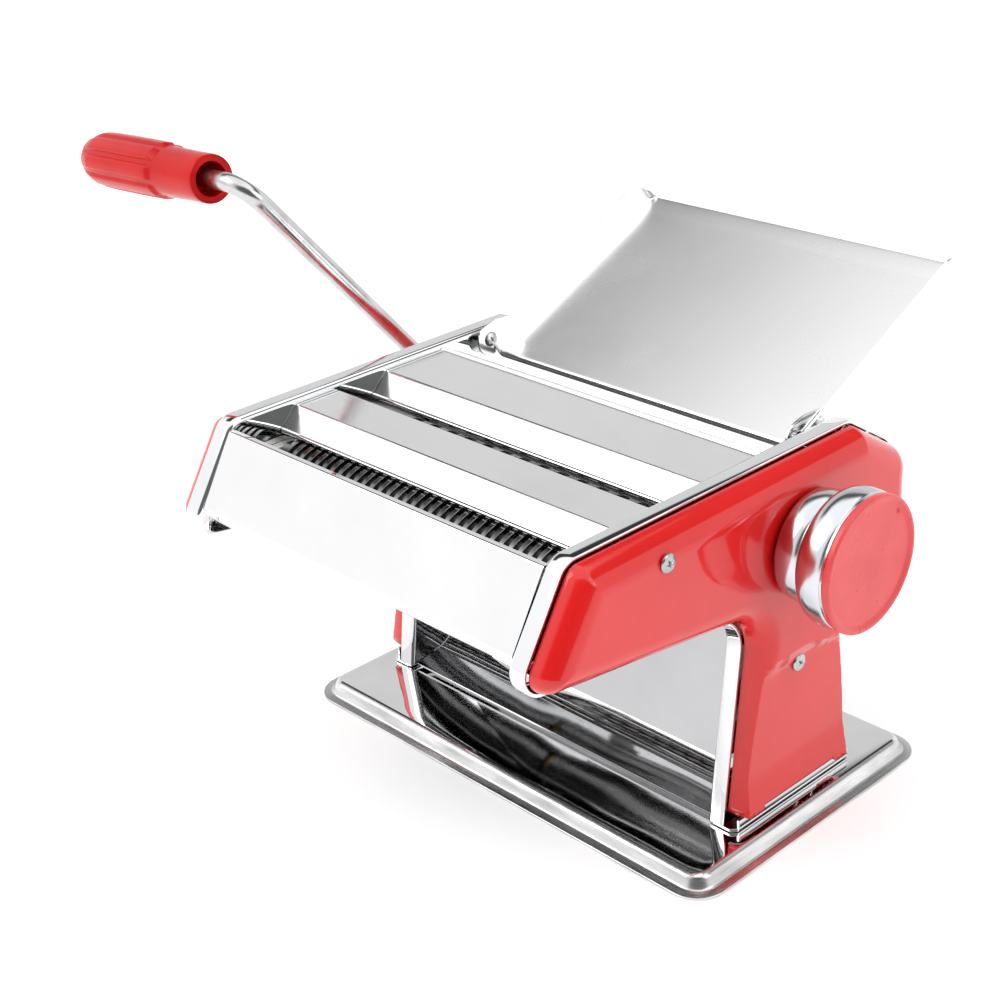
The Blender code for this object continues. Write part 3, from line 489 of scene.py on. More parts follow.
def base_ring(inset, z):
    half_x, half_y = BASE_HALF_X - inset, BASE_HALF_Y - inset
    radius = max(12.0 - inset, 3.0)
    corners = [(-half_x, -half_y, radius), (half_x, -half_y, radius),
               (half_x, half_y, radius), (-half_x, half_y, radius)]
    return [Vector((p.x, p.y, z)) for p in rounded(corners, 16)]


def make_base():
    """One pressed sheet: flat top, rounded bead, a hollow, and the flat lip."""
    upper = rounded_path([(11.0, 6.0, 0), (5.9, 6.0, 3.0), (3.6, 1.2, 1.5), (0.0, 1.0, 0)], 12)
    lip = rounded_path([(0.1, 1.0, 0), (0.0, 0.9, 0), (0.0, 0.1, 0), (0.1, 0.0, 0)], 2)
    lower = rounded_path([(4.2, 0.0, 0), (4.9, 0.8, 0.5), (7.4, 4.9, 0.8), (11.0, 5.0, 0)], 6)
    path = upper[:-1] + lip + lower
    rings = [base_ring(p.x, p.y) for p in path]
    bm = bmesh.new()
    layer = bm.verts.layers.float_vector.new("along_rim")
    loops = loft(bm, rings)
    travelled = [0.0]
    for here, there in zip(rings[0], rings[0][1:]):
        travelled.append(travelled[-1] + (there - here).length * MM)
    for loop, spot in zip(loops, path):
        for vert, length in zip(loop, travelled):
            vert[layer] = (length, (spot.x + spot.y) * MM, 0)
    made = piece("base", bm, "base_steel", "frame", ["base_plate"])
    made.data.materials.append(MATERIALS["plateau_steel"])
    for face in made.data.polygons:
        middle = face.center - ORIGIN
        inner = abs(middle.x) < (BASE_HALF_X - 7) * MM and abs(middle.y) < (BASE_HALF_Y - 7) * MM
        face.material_index = int(inner)


def frame_rings():
    """(inset, x) from the web's inner face round the bend, out along the flange and back."""
    bend, edge = 1.9, 0.25
    turns = [math.radians(90 * k / 6) for k in range(7)]
    rings = [(bend - bend * math.sin(a), FRAME_X + bend - bend * math.cos(a)) for a in turns]
    rings += [(0.0, FLANGE_X - edge), (0.07, FLANGE_X - 0.07), (edge, FLANGE_X)]
    rings += [(WEB - edge, FLANGE_X), (WEB - 0.07, FLANGE_X - 0.07), (WEB, FLANGE_X - edge)]
    inner = bend - WEB
    rings += [(WEB + inner - inner * math.sin(a), FRAME_X + bend - inner * math.cos(a))
              for a in turns[::-1]]
    return rings


def web_holes(side):
    """Bores in a frame, as y, z and radius."""
    spots = [(*REAR_AXIS, 8.3), (*KNOB_AXIS, 10.8), (*TRAY_PIVOT, 2.2)]
    for name, facts in CUTTERS.items():
        spots.append((*facts[0], 5.7 if name in DRIVEN and side < 0 else 4.3))
    return spots


def make_frames():
    for name, side in SIDES:
        bm = bmesh.new()
        loops = loft(bm, [at_x(rounded(shifted(FRAME_OUTLINE, inset)), x)
                          for inset, x in frame_rings()], caps=False)
        bores = [circle(r, (y, z), 40) for y, z, r in web_holes(side)]
        walls = [loft(bm, [at_x(bore, FRAME_X), at_x(bore, FRAME_X + WEB)], caps=False)
                 for bore in bores]
        fill(bm, loops[0], [wall[0] for wall in walls], lambda y, z: FRAME_X)
        fill(bm, loops[-1], [wall[1] for wall in walls], lambda y, z: FRAME_X + WEB)
        piece(name + "_frame", sided(bm, side), "chrome", "frame", [name + "_side_frame"])
        make_foot(name, side)


def make_foot(name, side):
    """The frame's foot, turned outwards on the base, with its edge turned up."""
    corners = [(79.0, -31.3, 0.3), (86.6, -31.3, 1.5), (88.5, -29.0, 1.0), (88.5, 33.5, 1.2),
               (79.0, 33.5, 0.3)]
    outline = rounded(corners, 4)
    bm = bmesh.new()
    loft(bm, [[Vector((p.x, p.y, z)) for p in outline] for z in (FOOT_Z, FOOT_Z + WEB)])
    piece(name + "_foot", sided(bm, side), "chrome", "frame", bevel=0.25)
    lip = [(87.3, -28.6), (88.5, -28.6), (88.5, 33.0), (87.3, 33.0)]
    bm = bmesh.new()
    loft(bm, [[Vector((x, y, z)) for x, y in lip] for z in (FOOT_Z + WEB - 0.1, 10.4)])
    piece(name + "_foot_lip", sided(bm, side), "chrome", "frame", bevel=0.3)


def spaced(outline, counts):
    """The outline with each side split into its count of equal steps."""
    points = []
    for i, (here, count) in enumerate(zip(outline, counts)):
        there = outline[(i + 1) % len(outline)]
        points += [here.lerp(there, k / count) for k in range(count)]
    return points


def cover_corners():
    """The frame's outline, with the leg run on below the place where it is cut off."""
    corners = list(FRAME_OUTLINE)
    corners[0] = (-33.5, -10.0, 1.0)
    corners[1] = (32.6, -10.0, 1.0)
    return corners


def along(line, y):
    """Height of a polyline at y."""
    for (y0, z0), (y1, z1) in zip(line, line[1:]):
        if y <= y1:
            return z0 + (z1 - z0) * (y - y0) / (y1 - y0)
    return line[-1][1]


LEDGE_TOP = [(-40, 64.5), (-26, 65.8), (-15, 68.3), (-6, 69.2), (0, 69.2), (6, 68.0), (20, 64.4),
             (40, 60.5)]
LEDGE_LOW = [(-40, 64.0), (-26, 65.0), (-16, 63.6), (-6, 62.9), (2, 64.2), (6, 64.4),
             (20, 61.8), (40, 58.0)]
FACET_Z, FACET_FACE, SKIRT_FACE = 25.6, 90.2, 92.4
EDGE_INSET, EDGE_REACH, LEG_REACH = 1.8, 9.0, 2.4


def face_level(y, z):
    """x of the cover's face, without the rounding at its edge."""
    top, low = along(LEDGE_TOP, y), along(LEDGE_LOW, y)
    if z >= top or y < -45 or y > 45:
        return COVER_FACE
    if z >= low:
        return PANEL_FACE + (COVER_FACE - PANEL_FACE) * (z - low) / (top - low)
    if z >= FACET_Z:
        share = (z - FACET_Z) / (low - FACET_Z)
        return FACET_FACE + (PANEL_FACE - FACET_FACE) * share
    share = (FACET_Z - z) / (FACET_Z - COVER_BOTTOM)
    return FACET_FACE + (SKIRT_FACE - FACET_FACE) * share


def rounded_face(depth, y, z):
    """x of the cover at a distance inside its rim."""
    narrow = max(0.0, min(1.0, (92.0 - z) / 60.0))
    reach = EDGE_REACH + (LEG_REACH - EDGE_REACH) * narrow * narrow * (3 - 2 * narrow)
    share = max(0.0, 1.0 - depth / reach)
    bulge = COVER_X + (COVER_FACE - COVER_X) * math.sqrt(max(0.0, 1.0 - share * share))
    return min(bulge, face_level(y, z))


def cover_holes(side):
    """Bores in a cover, as y, z and radius."""
    spots = [(y, z, 2.0) for y, z in COVER_SCREWS.values()]
    if side > 0:
        return spots + [(*KNOB_AXIS, 5.6)]
    spots.append((*REAR_AXIS, 5.8))
    return spots + [(*CUTTERS[name][0], 5.8) for name in DRIVEN]


def cover_loops(bm):
    """The shell's rings, from its inner face out round the rim and on to the flat face."""
    corners = cover_corners()
    steps = 14
    first = rounded(shifted(corners, EDGE_INSET), steps)
    counts = [max(1, round((there - here).length / 2.5))
              for here, there in zip(first, first[1:] + first[:1])]

    def ring(depth):
        return spaced(rounded(shifted(corners, depth), steps), counts)

    inner = [(11.0, COVER_INNER), (7.5, 88.9), (4.6, 87.6), (3.2, 85.6), (3.0, COVER_X)]
    rings = [at_x(ring(depth), x) for depth, x in inner]
    rings.append(at_x(ring(EDGE_INSET + 0.1), COVER_X))
    depths = [EDGE_REACH * (1 - math.cos(math.radians(90 * k / 18))) for k in range(19)]
    for depth in depths + [9.3, 9.6]:
        rings.append([Vector((rounded_face(depth, p.x, p.y), p.x, p.y))
                      for p in ring(EDGE_INSET + depth)])
    return loft(bm, rings, caps=False)


def cover_bores(bm, side):
    """Bores through the shell with a small chamfer; gives their outer and inner edges."""
    outer, inner = [], []
    for y, z, radius in cover_holes(side):
        edge = circle(radius + 0.5, (y, z), 40)
        bore = circle(radius, (y, z), 40)
        levels = [face_level(p.x, p.y) for p in edge]
        top = [Vector((x, p.x, p.y)) for x, p in zip(levels, edge)]
        low = [Vector((x - 0.5, p.x, p.y)) for x, p in zip(levels, bore)]
        hole = loft(bm, [top, low, at_x(bore, COVER_INNER)], caps=False)
        outer.append(hole[0])
        inner.append(hole[-1])
    return outer, inner


def cover_points(outline, side):
    """A grid of points on the face, clear of its bores, and the lines where it bends."""
    grid = [Vector((y * 1.5, z * 1.5)) for y in range(-18, 18) for z in range(-4, 47)]
    grid = [p for p in grid if inside(p, outline)
            and all((p - Vector(spot[:2])).length > spot[2] + 1.2
                    for spot in cover_holes(side))]
    lines = [[Vector((y, along(LEDGE_TOP, y))) for y in range(-20, 20)],
             [Vector((y, FACET_Z)) for y in range(-22, 22)]]
    creases = [[p for p in line if inside(p, outline)
                and (p - Vector(COVER_SCREWS["lower"])).length > 4.2] for line in lines]
    return grid, creases


def make_covers():
    for name, side in SIDES:
        bm = bmesh.new()
        loops = cover_loops(bm)
        outer, inner = cover_bores(bm, side)
        fill(bm, loops[0], inner, lambda y, z: COVER_INNER)
        outline = [Vector(vert.co.yz) for vert in loops[-1]]
        fill(bm, loops[-1], outer, face_level, *cover_points(outline, side))
        bmesh.ops.remove_doubles(bm, verts=bm.verts[:], dist=0.012)
        bmesh.ops.dissolve_degenerate(bm, edges=bm.edges[:], dist=0.004)
        made = piece(name + "_cover", sided(bm, side), "red_paint", "frame",
                     [name + "_side_cover"], sharp=14)
        cut(made, sided(leg_end(), side))


def leg_end():
    """Takes the leg off at its lower edge, with a shallow notch in the middle."""
    edge = [(-60, -20), (60, -20), (60, COVER_BOTTOM), (20.4, COVER_BOTTOM), (19.6, NOTCH_TOP),
            (-19.2, NOTCH_TOP), (-19.8, COVER_BOTTOM), (-60, COVER_BOTTOM)]
    bm = bmesh.new()
    loft(bm, [at_x([Vector(p) for p in edge], x) for x in (80.0, 100.0)])
    return bm


# Sheets between the frames ----------------------------------------------------


def make_sheet(name, corners, finish, replaced, steps=8, thickness=SHEET):
    """A bent sheet along X between the webs."""
    path = rounded_path(corners, steps)
    outline = path + offset_path(path, thickness)[::-1]
    bm = bmesh.new()
    loft(bm, [at_x(outline, -SHEET_HALF), at_x(outline, SHEET_HALF)])
    return piece(name, bm, finish, "frame", [replaced], bevel=0.12)


def make_sheets():
    make_sheet("guard", [(-113.6, 107.0, 0), (-119.9, 108.9, 1.4), (-104.9, 134.3, 0.9),
                         (-102.2, 133.8, 0.5), (-101.9, 132.6, 0)], "mirror_sheet",
               "front_guard")
    make_sheet("front_top", [(-82.8, 127.7, 0), (-75.5, 135.0, 1.4), (-57.3, 135.0, 0)],
               "sheet_steel", "front_fender")
    make_sheet("rear_top", [(-40.5, 127.7, 0), (-33.2, 135.0, 1.6), (-6.0, 135.0, 0.6),
                            (-4.7, 136.1, 0)], "sheet_steel", "rear_fender")
    make_sheet("chute", [(-29.0, 8.0, 0), (-10.5, 11.0, 13.0), (37.5, 108.0, 0)], "chute_sheet",
               "dough_chute", steps=16)
    for name, y in (("front", -82.6), ("rear", -40.3)):
        bm = bmesh.new()
        loft(bm, [at_x(circle(0.95, (y, 127.3), 24), x) for x in (-SHEET_HALF, SHEET_HALF)])
        piece(name + "_hem", bm, "mirror_sheet", "frame")


def make_tie_rods():
    places = {"front": (-111.0, 104.0), "middle": (-74.5, 99.0), "rear": (36.5, 129.2)}
    for name, place in places.items():
        ends = [(79.2, 0.0), (79.2, 2.4), (78.7, 3.2), (78.0, 3.2), (78.0, 2.0), (76.2, 2.0),
                (76.2, 2.7), (75.9, 3.0)]
        profile = [(-x, r) for x, r in ends] + [(x, r) for x, r in ends[::-1]]
        piece(name + "_rod", turned(bmesh.new(), profile, place, 40), "chrome", "frame",
              [name + "_tie_rod"])


# Screws -----------------------------------------------------------------------


def cross(centre, x0, x1, turn, arm=1.9, half=0.5):
    """A cross recess that widens from x0 to x1."""
    spots = [(arm, half), (half, half), (half, arm), (-half, arm), (-half, half), (-arm, half),
             (-arm, -half), (-half, -half), (-half, -arm), (half, -arm), (half, -half),
             (arm, -half)]
    spin = Matrix.Rotation(math.radians(turn), 2)
    rings = []
    for x, size in ((x0, 0.45), (x1, 1.0)):
        rings.append(at_x([Vector(centre) + spin @ (Vector(s) * size) for s in spots], x))
    bm = bmesh.new()
    loft(bm, rings)
    return bm


def dome(start, radius, height, steps=8):
    """Profile of a rounded screw head, from its rim to its crown."""
    points = []
    for k in range(steps + 1):
        a = math.radians(90 * k / steps)
        points.append((start + 0.5 + height * math.sin(a), radius * math.cos(a)))
    return points


def make_screws():
    for name, side in SIDES:
        for spot, place in COVER_SCREWS.items():
            face = face_level(*place) + 0.1
            profile = [(75.6, 0), (75.6, 1.2), (76.0, 1.6), (face, 1.6), (face, 3.0)]
            profile += dome(face, 3.15, 0.9)
            bm = turned(bmesh.new(), profile, place, 48)
            node = name + "_cover_screw_" + spot
            made = piece(node + "_head", sided(bm, side), "zinc", "frame", [node])
            turn = 20 if spot == "upper" else 38
            cut(made, sided(cross(place, face + 0.05, face + 1.7, turn), side))
        profile = [(80.0, 0), (80.0, 1.9), (73.4, 1.9), (73.4, 2.7), (73.1, 2.9), (72.8, 2.7),
                   (72.6, 2.0), (72.5, 1.0), (72.45, 0)]
        bm = turned(bmesh.new(), profile, TRAY_PIVOT, 48)
        node = name + "_tray_screw"
        made = piece(node + "_head", sided(bm, side), "zinc", "frame", [node])
        cut(made, sided(cross(TRAY_PIVOT, 73.2, 72.0, 30, 1.7, 0.4), side))


# Rollers and cutters --------------------------------------------------------------


def make_rollers():
    rear = [(-79.3, 0), (-79.3, SOCKET_R), (-90.2, SOCKET_R), (-90.5, 4.2), (-90.5, 4.9),
            (-90.2, JOURNAL_R), (-ROLLER_HALF, JOURNAL_R), (-ROLLER_HALF, 11.3), (-74.2, ROLLER_R),
            (74.2, ROLLER_R), (ROLLER_HALF, 11.3), (ROLLER_HALF, JOURNAL_R), (78.1, JOURNAL_R),
            (78.1, 0)]
    piece("rear_smooth_roller", turned(bmesh.new(), rear, REAR_AXIS, 96),
          "roller_steel", "drive", ["rear_roller"])
    front = [(-84.2, 3.8), (-84.2, JOURNAL_R), (-ROLLER_HALF, JOURNAL_R), (-ROLLER_HALF, 11.3),
             (-74.2, ROLLER_R), (74.2, ROLLER_R), (ROLLER_HALF, 11.3), (ROLLER_HALF, JOURNAL_R),
             (78.1, JOURNAL_R), (78.1, 3.8)]
    piece("front_smooth_roller", turned(bmesh.new(), front, FRONT_AXIS, 96, closed=True),
          "roller_steel", "front_roller", ["front_roller"])
    for name, facts in CUTTERS.items():
        make_cutter(name, *facts)


def make_cutter(name, axis, disc, core, pitch, centred):
    """Discs along a core; the two cutters of a pair have their discs half a pitch apart."""
    width, edge = pitch / 2 - 0.1, 0.12
    count = int((CUTTER_HALF * 2 - pitch) / pitch)
    first = -count * pitch / 2 + (0 if centred else pitch / 2)
    if not centred:
        count -= 1
    body = [(-CUTTER_HALF, core)]
    for k in range(count + 1):
        middle = first + k * pitch
        low, high = middle - width / 2, middle + width / 2
        body += [(low, core), (low, disc - edge), (low + edge, disc), (high - edge, disc),
                 (high, disc - edge), (high, core)]
    body.append((CUTTER_HALF, core))
    if name in DRIVEN:
        start = [(-79.3, 0), (-79.3, SOCKET_R), (-90.5, SOCKET_R), (-90.5, 5.4),
                 (-CUTTER_HALF, 5.4)]
    else:
        start = [(-84.2, 0), (-84.2, CUTTER_JOURNAL_R), (-CUTTER_HALF, CUTTER_JOURNAL_R)]
    end = [(CUTTER_HALF, CUTTER_JOURNAL_R), (77.9, CUTTER_JOURNAL_R), (77.9, 0)]
    bm = turned(bmesh.new(), start + body + end, axis, 48)
    piece(name + "_discs", bm, "cutter_steel", name, [name + "_cutter"])


# Regulator knob ---------------------------------------------------------------------


def bulge(x0, r0, x1, r1, top_x, top_r, steps=12):
    """Points of a rounded ring's section: up from one foot to the crown, down to the other."""
    points = []
    for k in range(steps + 1):
        a = math.radians(90 * k / steps)
        points.append((top_x - (top_x - x0) * math.cos(a), r0 + (top_r - r0) * math.sin(a)))
    for k in range(1, steps + 1):
        a = math.radians(90 * k / steps)
        points.append((top_x + (x1 - top_x) * math.sin(a), r1 + (top_r - r1) * math.cos(a)))
    return points


def make_knob():
    profile = [(93.9, 16.6), (93.9, 17.0)]
    profile += bulge(94.1, 17.3, 103.7, 17.9, 99.6, 19.4)
    profile += bulge(104.0, 18.0, 115.6, 22.8, 110.8, 23.7)
    profile += [(115.8, 23.0), (116.5, 23.0), (116.6, 22.9), (116.6, 9.5), (98.0, 9.5),
                (98.0, 5.3), (93.9, 5.3), (93.9, 11.8), (99.5, 11.8), (99.5, 16.6)]
    bm = turned(bmesh.new(), profile, KNOB_AXIS, 128, closed=True)
    piece("knob_body", bm, "satin_chrome", "knob", ["knob_ring"])
    face = rounded_path([(116.9, 0, 0), (116.9, 23.4, 0.3), (119.3, 23.45, 0.9),
                         (119.3, 21.9, 0.6), (118.3, 20.4, 1.2), (118.1, 0, 0)], 8)
    bm = turned(bmesh.new(), [(p.x, abs(p.y)) for p in face], KNOB_AXIS, 128)
    piece("knob_front", bm, "red_cap", "knob", ["knob_cap"], sharp=50)
    spot = (KNOB_AXIS[0] + 14.6, KNOB_AXIS[1] + 13.9)
    bm = turned(bmesh.new(), [(117.6, 0), (117.6, 1.5), (118.25, 1.5), (118.35, 1.3),
                              (118.35, 0)], spot, 24)
    piece("knob_index", bm, "red_dot", "knob")


# Crank --------------------------------------------------------------------------------


ARM = Vector((0, -math.sin(CRANK_LEAN), math.cos(CRANK_LEAN)))
HUB = Vector((CRANK_X, *REAR_AXIS))
CORNER = HUB + ARM * CRANK_ARM
GRIP = Vector((-math.cos(GRIP_DROOP), 0, 0)) - ARM * math.sin(GRIP_DROOP)


def bend_points(before, here, after, radius, steps):
    """Points of the arc that rounds a corner of a path in space."""
    into = (before - here).normalized()
    out = (after - here).normalized()
    half = into.angle(out) / 2
    reach = radius / math.tan(half)
    centre = here + (into + out).normalized() * (radius / math.sin(half))
    start = here + into * reach - centre
    axis = start.cross(here + out * reach - centre).normalized()
    sweep = math.pi - 2 * half
    return [centre + Matrix.Rotation(sweep * k / steps, 3, axis) @ start
            for k in range(steps + 1)]


def make_rod():
    """Round bar from the socket out to the hub, up the arm and into the grip."""
    start = Vector((-80.0, *REAR_AXIS))
    end = CORNER + GRIP * 102
    path = [start + Vector((-0.1 * k, 0, 0)) for k in range(2)]
    path += bend_points(start, HUB, CORNER, 10, 20)
    path += bend_points(HUB, CORNER, end, 11, 24) + [end]
    normal = Vector((1, 0, 0)).cross(ARM)
    rings = []
    for i, here in enumerate(path):
        ahead = (path[min(i + 1, len(path) - 1)] - path[max(i - 1, 0)]).normalized()
        across = normal.cross(ahead).normalized()
        rings.append([here + CRANK_R * (math.cos(a) * across + math.sin(a) * normal)
                      for a in (2 * math.pi * k / 40 for k in range(40))])
    bm = bmesh.new()
    loft(bm, rings)
    piece("crank_bar", bm, "rod_steel", "crank", ["crank_rod"], sharp=50)


def on_grip(bm):
    """Turns a mesh drawn along X to run along the grip, from the arm's upper corner."""
    turn = Vector((1, 0, 0)).rotation_difference(GRIP).to_matrix().to_4x4()
    bmesh.ops.transform(bm, matrix=Matrix.Translation(CORNER) @ turn, verts=bm.verts)
    return bm


def make_grip():
    """A moulded grip: a plain collar, then broad ribs that run out to the domed end."""
    outer = [(GRIP_START, 8.5), (22.3, 9.1), (34.0, 9.2), (50.0, 9.5), (62.0, 9.7),
             (80.0, 9.8), (94.0, 9.7), (102.0, 9.2), (106.8, 8.2), (109.4, 6.3), (110.6, 4.0),
             (GRIP_END, 0.8)]
    count = 144
    rings = []
    for x, radius in smooth_profile(outer, 12):
        ribbed = min(1.0, max(0.0, (x - 50.5) / 1.5)) * min(1.0, max(0.0, (108.0 - x) / 9.0))
        ring = []
        for k in range(count):
            a = 2 * math.pi * k / count
            wave = 0.5 + 0.5 * math.cos(8 * a)
            share = min(1.0, max(0.0, (wave - 0.12) / 0.22))
            r = radius + 1.1 * ribbed * share * share * (3 - 2 * share)
            ring.append(Vector((x, r * math.cos(a), r * math.sin(a))))
        rings.append(ring)
    inner = [(33.0, 3.9), (33.0, 6.5), (GRIP_START, 6.5)]
    hollow = [[Vector((x, r * math.cos(2 * math.pi * k / count),
                       r * math.sin(2 * math.pi * k / count))) for k in range(count)]
              for x, r in [(104.5, 3.9)] + inner]
    bm = bmesh.new()
    loft(bm, hollow + rings)
    piece("grip", on_grip(bm), "red_plastic", "grip", ["crank_grip"], sharp=50)


def smooth_profile(points, steps):
    """Catmull-Rom curve through the points of a profile."""
    spots = [Vector(p) for p in points]
    made = []
    for i in range(len(spots) - 1):
        p0, p1 = spots[max(i - 1, 0)], spots[i]
        p2, p3 = spots[i + 1], spots[min(i + 2, len(spots) - 1)]
        for k in range(steps):
            t = k / steps
            spot = 0.5 * (2 * p1 + (p2 - p0) * t + (2 * p0 - 5 * p1 + 4 * p2 - p3) * t * t
                          + (3 * p1 - p0 - 3 * p2 + p3) * t ** 3)
            made.append((spot.x, spot.y))
    return made + [tuple(spots[-1])]


# Feed tray -------------------------------------------------------------------------------


def tray_point(x, slope, up):
    direction = Vector((0, math.cos(TRAY_SLOPE), math.sin(TRAY_SLOPE)))
    normal = Vector((0, -math.sin(TRAY_SLOPE), math.cos(TRAY_SLOPE)))
    return Vector((x, *TRAY_EDGE)) + direction * slope + normal * up


def tray_section(slope, height, half, floor):
    """One bent sheet across the slope: flange, fold, floor, fold, flange."""
    lean = TRAY_SPLAY * height / TRAY_FLANGE
    path = [(-half - lean, height, 0), (-half, floor, min(1.2, height * 0.4)),
            (half, floor, min(1.2, height * 0.4)), (half + lean, height, 0)]
    inner = rounded_path(path, 6)
    outline = inner + offset_path(inner, SHEET)[::-1]
    return [tray_point(p.x, slope, p.y) for p in outline]


def make_tray():
    """Open at its lower edge; the flanges run down to nothing round the far corners."""
    lip = [(0.0, 0.0), (0.7, 0.95), (1.0, 1.15), (1.5, 1.28), (2.1, 1.3)]
    stations = [(slope, TRAY_FLANGE, TRAY_HALF, rise) for slope, rise in lip]
    stations.append((TRAY_STRAIGHT, TRAY_FLANGE, TRAY_HALF, 0.2))
    for k in range(1, 13):
        a = math.radians(90 * k / 12)
        stations.append((TRAY_STRAIGHT + TRAY_CORNER * math.sin(a), 1.2 + 7.4 * math.cos(a),
                         TRAY_HALF - 3.0 * (1 - math.cos(a)) ** 2, 0.2 * math.cos(a)))
    bm = bmesh.new()
    loft(bm, [tray_section(*station) for station in stations])
    piece("tray", bm, "tray_steel", "tray", ["feed_tray"], bevel=0.12)
    for name, side in SIDES:
        piece(name + "_tray_lug", sided(tray_lug(), side), "sheet_steel", "tray", bevel=0.12)


def tray_lug():
    """A flat plate round the pivot, with a bore for the screw."""
    centre = Vector(TRAY_PIVOT)
    slope = Vector((math.cos(TRAY_SLOPE), math.sin(TRAY_SLOPE)))
    normal = Vector((-slope.y, slope.x))
    start = math.atan2(normal.y, normal.x)
    arc = [centre + 6.4 * Vector((math.cos(start + math.pi * k / 24),
                                  math.sin(start + math.pi * k / 24))) for k in range(25)]
    far = [centre + slope * 13 - normal * 5.0, centre + slope * 13 + normal * 1.2,
           centre + slope * 6 + normal * 5.2]
    bm = bmesh.new()
    loops = loft(bm, [at_x(arc + far, 73.4), at_x(arc + far, 74.2)], caps=False)
    bore = circle(2.3, TRAY_PIVOT, 32)
    wall = loft(bm, [at_x(bore, 73.4), at_x(bore, 74.2)], caps=False)
    fill(bm, loops[0], [wall[0]], lambda y, z: 73.4)
    fill(bm, loops[1], [wall[1]], lambda y, z: 74.2)
    return bm


# Nodes that stay as they are ---------------------------------------------------------


def dress_kept_nodes():
    """Gives every CAD node still shown the material of its slot."""
    slots = {part["node"]: part["material_slot"] for part in frame["record"]["subparts"]}
    for name, node in frame["nodes"].items():
        node.data.materials.clear()
        node.data.materials.append(MATERIALS[slots[name]])


# Studio ------------------------------------------------------------------------------


# Direction, angles of its full and its last effect, and what is left of the light there.
DARK_PARTS = [
    ((0.75, -0.65, 0.20), (34, 50), 0.13),
    ((-0.66, 0.61, 0.36), (16, 44), 0.68),
    ((0.0, 0.0, 1.0), (14, 42), 0.78),
]
WHITE = 1.09
BAND_LOW, BAND_HIGH, BAND_LEFT = (0.54, 0.60), (0.74, 0.79), 0.06


def emitter(name, place, size, power):
    """A soft box that faces the machine."""
    light = bpy.data.lights.new(name, "AREA")
    light.shape = "RECTANGLE"
    light.size, light.size_y = size
    light.energy = power
    made = bpy.data.objects.new(name, light)
    made.location = place
    made.rotation_mode = "QUATERNION"
    aim = Vector((ORIGIN.x, ORIGIN.y, 0.08)) - made.location
    made.rotation_quaternion = aim.to_track_quat("-Z", "Y")
    bpy.context.scene.collection.objects.link(made)


class World:
    """The light of the room by direction, as strengths that multiply each other."""

    def __init__(self, name):
        self.world = bpy.data.worlds.new(name)
        self.world.use_nodes = True
        self.tree = self.world.node_tree
        self.background = self.tree.nodes["Background"]
        self.way = self.add("TexCoord").outputs["Generated"]

    def add(self, kind):
        return self.tree.nodes.new("ShaderNode" + kind)

    def ramp(self, value, start, end, low, high):
        node = self.add("MapRange")
        node.interpolation_type = "SMOOTHSTEP"
        for socket, number in (("From Min", start), ("From Max", end), ("To Min", low),
                               ("To Max", high)):
            node.inputs[socket].default_value = number
        self.tree.links.new(value, node.inputs["Value"])
        return node.outputs["Result"]

    def math(self, operation, first, second):
        node = self.add("Math")
        node.operation = operation
        for value, socket in ((first, node.inputs[0]), (second, node.inputs[1])):
            if isinstance(value, float):
                socket.default_value = value
            else:
                self.tree.links.new(value, socket)
        return node.outputs["Value"]

    def towards(self, direction):
        """Cosine of the angle from a direction."""
        dot = self.add("VectorMath")
        dot.operation = "DOT_PRODUCT"
        dot.inputs[1].default_value = Vector(direction).normalized()
        self.tree.links.new(self.way, dot.inputs[0])
        return dot.outputs["Value"]


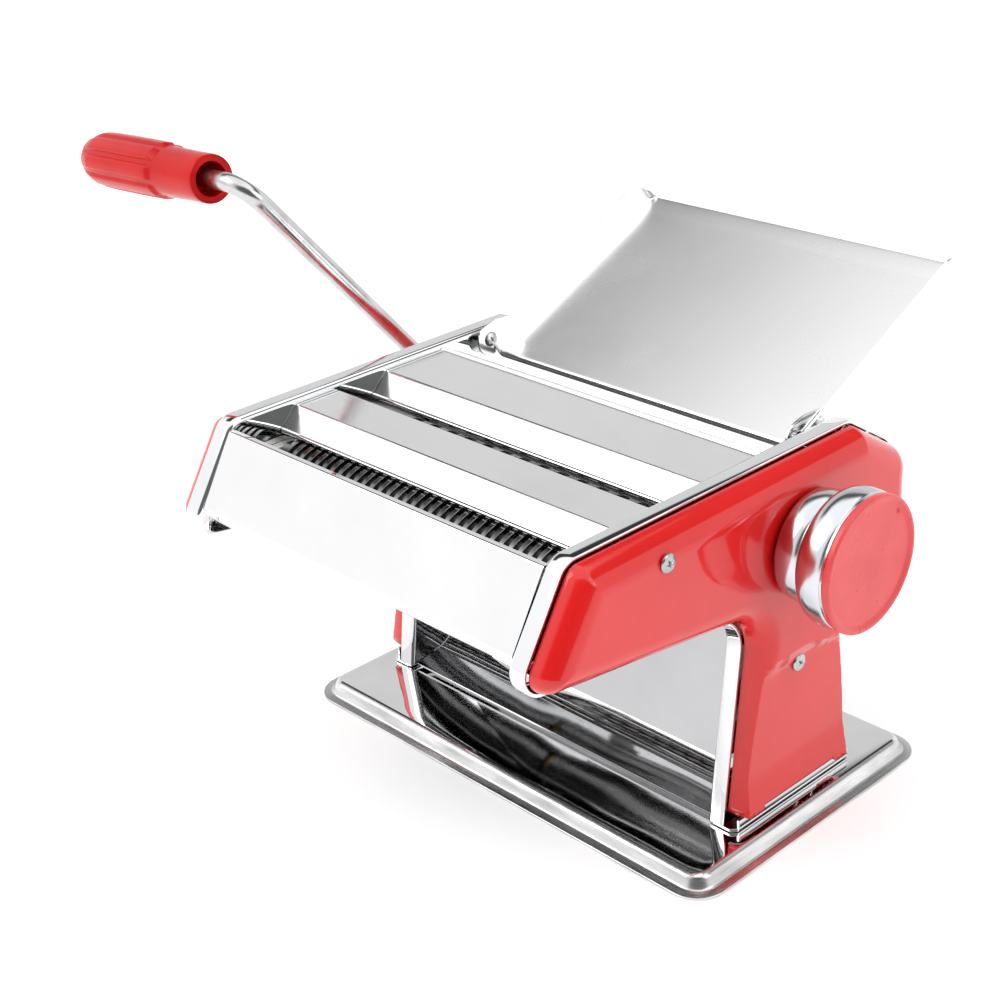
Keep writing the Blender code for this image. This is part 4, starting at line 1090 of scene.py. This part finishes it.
def make_world():
    """A white studio for the camera; the steel sees it with its darker parts."""
    world = World("studio")
    bpy.context.scene.world = world.world
    light = WHITE
    for direction, (full, last), left in DARK_PARTS:
        fade = world.ramp(world.towards(direction), math.cos(math.radians(last)),
                          math.cos(math.radians(full)), 1.0, left)
        light = world.math("MULTIPLY", light, fade)
    height, back = world.towards((0, 0, 1)), world.towards((0, 1, 0))
    band = world.math("MULTIPLY", world.ramp(height, *BAND_LOW, 0.0, 1.0),
                      world.ramp(height, *BAND_HIGH, 1.0, 0.0))
    band = world.math("MULTIPLY", band, world.ramp(back, -0.16, -0.02, 0.0, 1.0))
    light = world.math("MULTIPLY", light, world.ramp(band, 0.0, 1.0, 1.0, BAND_LEFT))
    camera = world.add("LightPath").outputs["Is Camera Ray"]
    world.tree.links.new(world.math("MAXIMUM", light, camera),
                         world.background.inputs["Strength"])
    world.background.inputs["Color"].default_value = (1, 1, 1, 1)


def make_floor():
    bm = bmesh.new()
    size, cells = 6.0, 24
    bmesh.ops.create_grid(bm, x_segments=cells, y_segments=cells, size=size)
    mesh = bpy.data.meshes.new("floor")
    bm.to_mesh(mesh)
    bm.free()
    nodes = Nodes("floor_paper")
    nodes.link(nodes.mixed(nodes.spread(nodes.noise(3.0), 0, 1), (0.90, 0.90, 0.90),
                           (0.92, 0.92, 0.92)), nodes.shader.inputs["Base Color"])
    nodes.shader.inputs["Roughness"].default_value = 0.85
    nodes.shader.inputs["Specular IOR Level"].default_value = 0.1
    nodes.shader.inputs["Emission Color"].default_value = (1, 1, 1, 1)
    nodes.shader.inputs["Emission Strength"].default_value = 0.3
    mesh.materials.append(nodes.material)
    made = bpy.data.objects.new("floor", mesh)
    made.location = (0, 0, -0.0002)
    bpy.context.scene.collection.objects.link(made)


def make_camera():
    camera = bpy.data.objects.new("camera", bpy.data.cameras.new("camera"))
    camera.data.sensor_width = 36.0
    camera.data.lens = 64.83
    right = Vector((0.6951, 0.7176, -0.0435))
    up = Vector((-0.2815, 0.3273, 0.9020))
    back = Vector((0.6615, -0.6147, 0.4295))
    place = Vector((406.86, -428.00, 375.73)) * MM + ORIGIN
    camera.matrix_world = Matrix.Translation(place) @ Matrix(
        (right, up, back)).transposed().to_4x4()
    bpy.context.scene.collection.objects.link(camera)
    bpy.context.scene.camera = camera


def make_studio():
    make_world()
    make_floor()
    emitter("key", (-0.9, -1.2, 1.5), (1.2, 1.2), 13)
    emitter("fill", (1.5, 0.3, 1.2), (1.0, 1.0), 6)
    emitter("top", (0.1, 0.1, 2.4), (3.0, 3.0), 14)
    make_camera()
    bpy.context.scene.view_settings.view_transform = "Standard"


make_base()
make_frames()
make_covers()
make_sheets()
make_tie_rods()
make_screws()
make_rollers()
make_knob()
make_rod()
make_grip()
make_tray()
dress_kept_nodes()
make_studio()
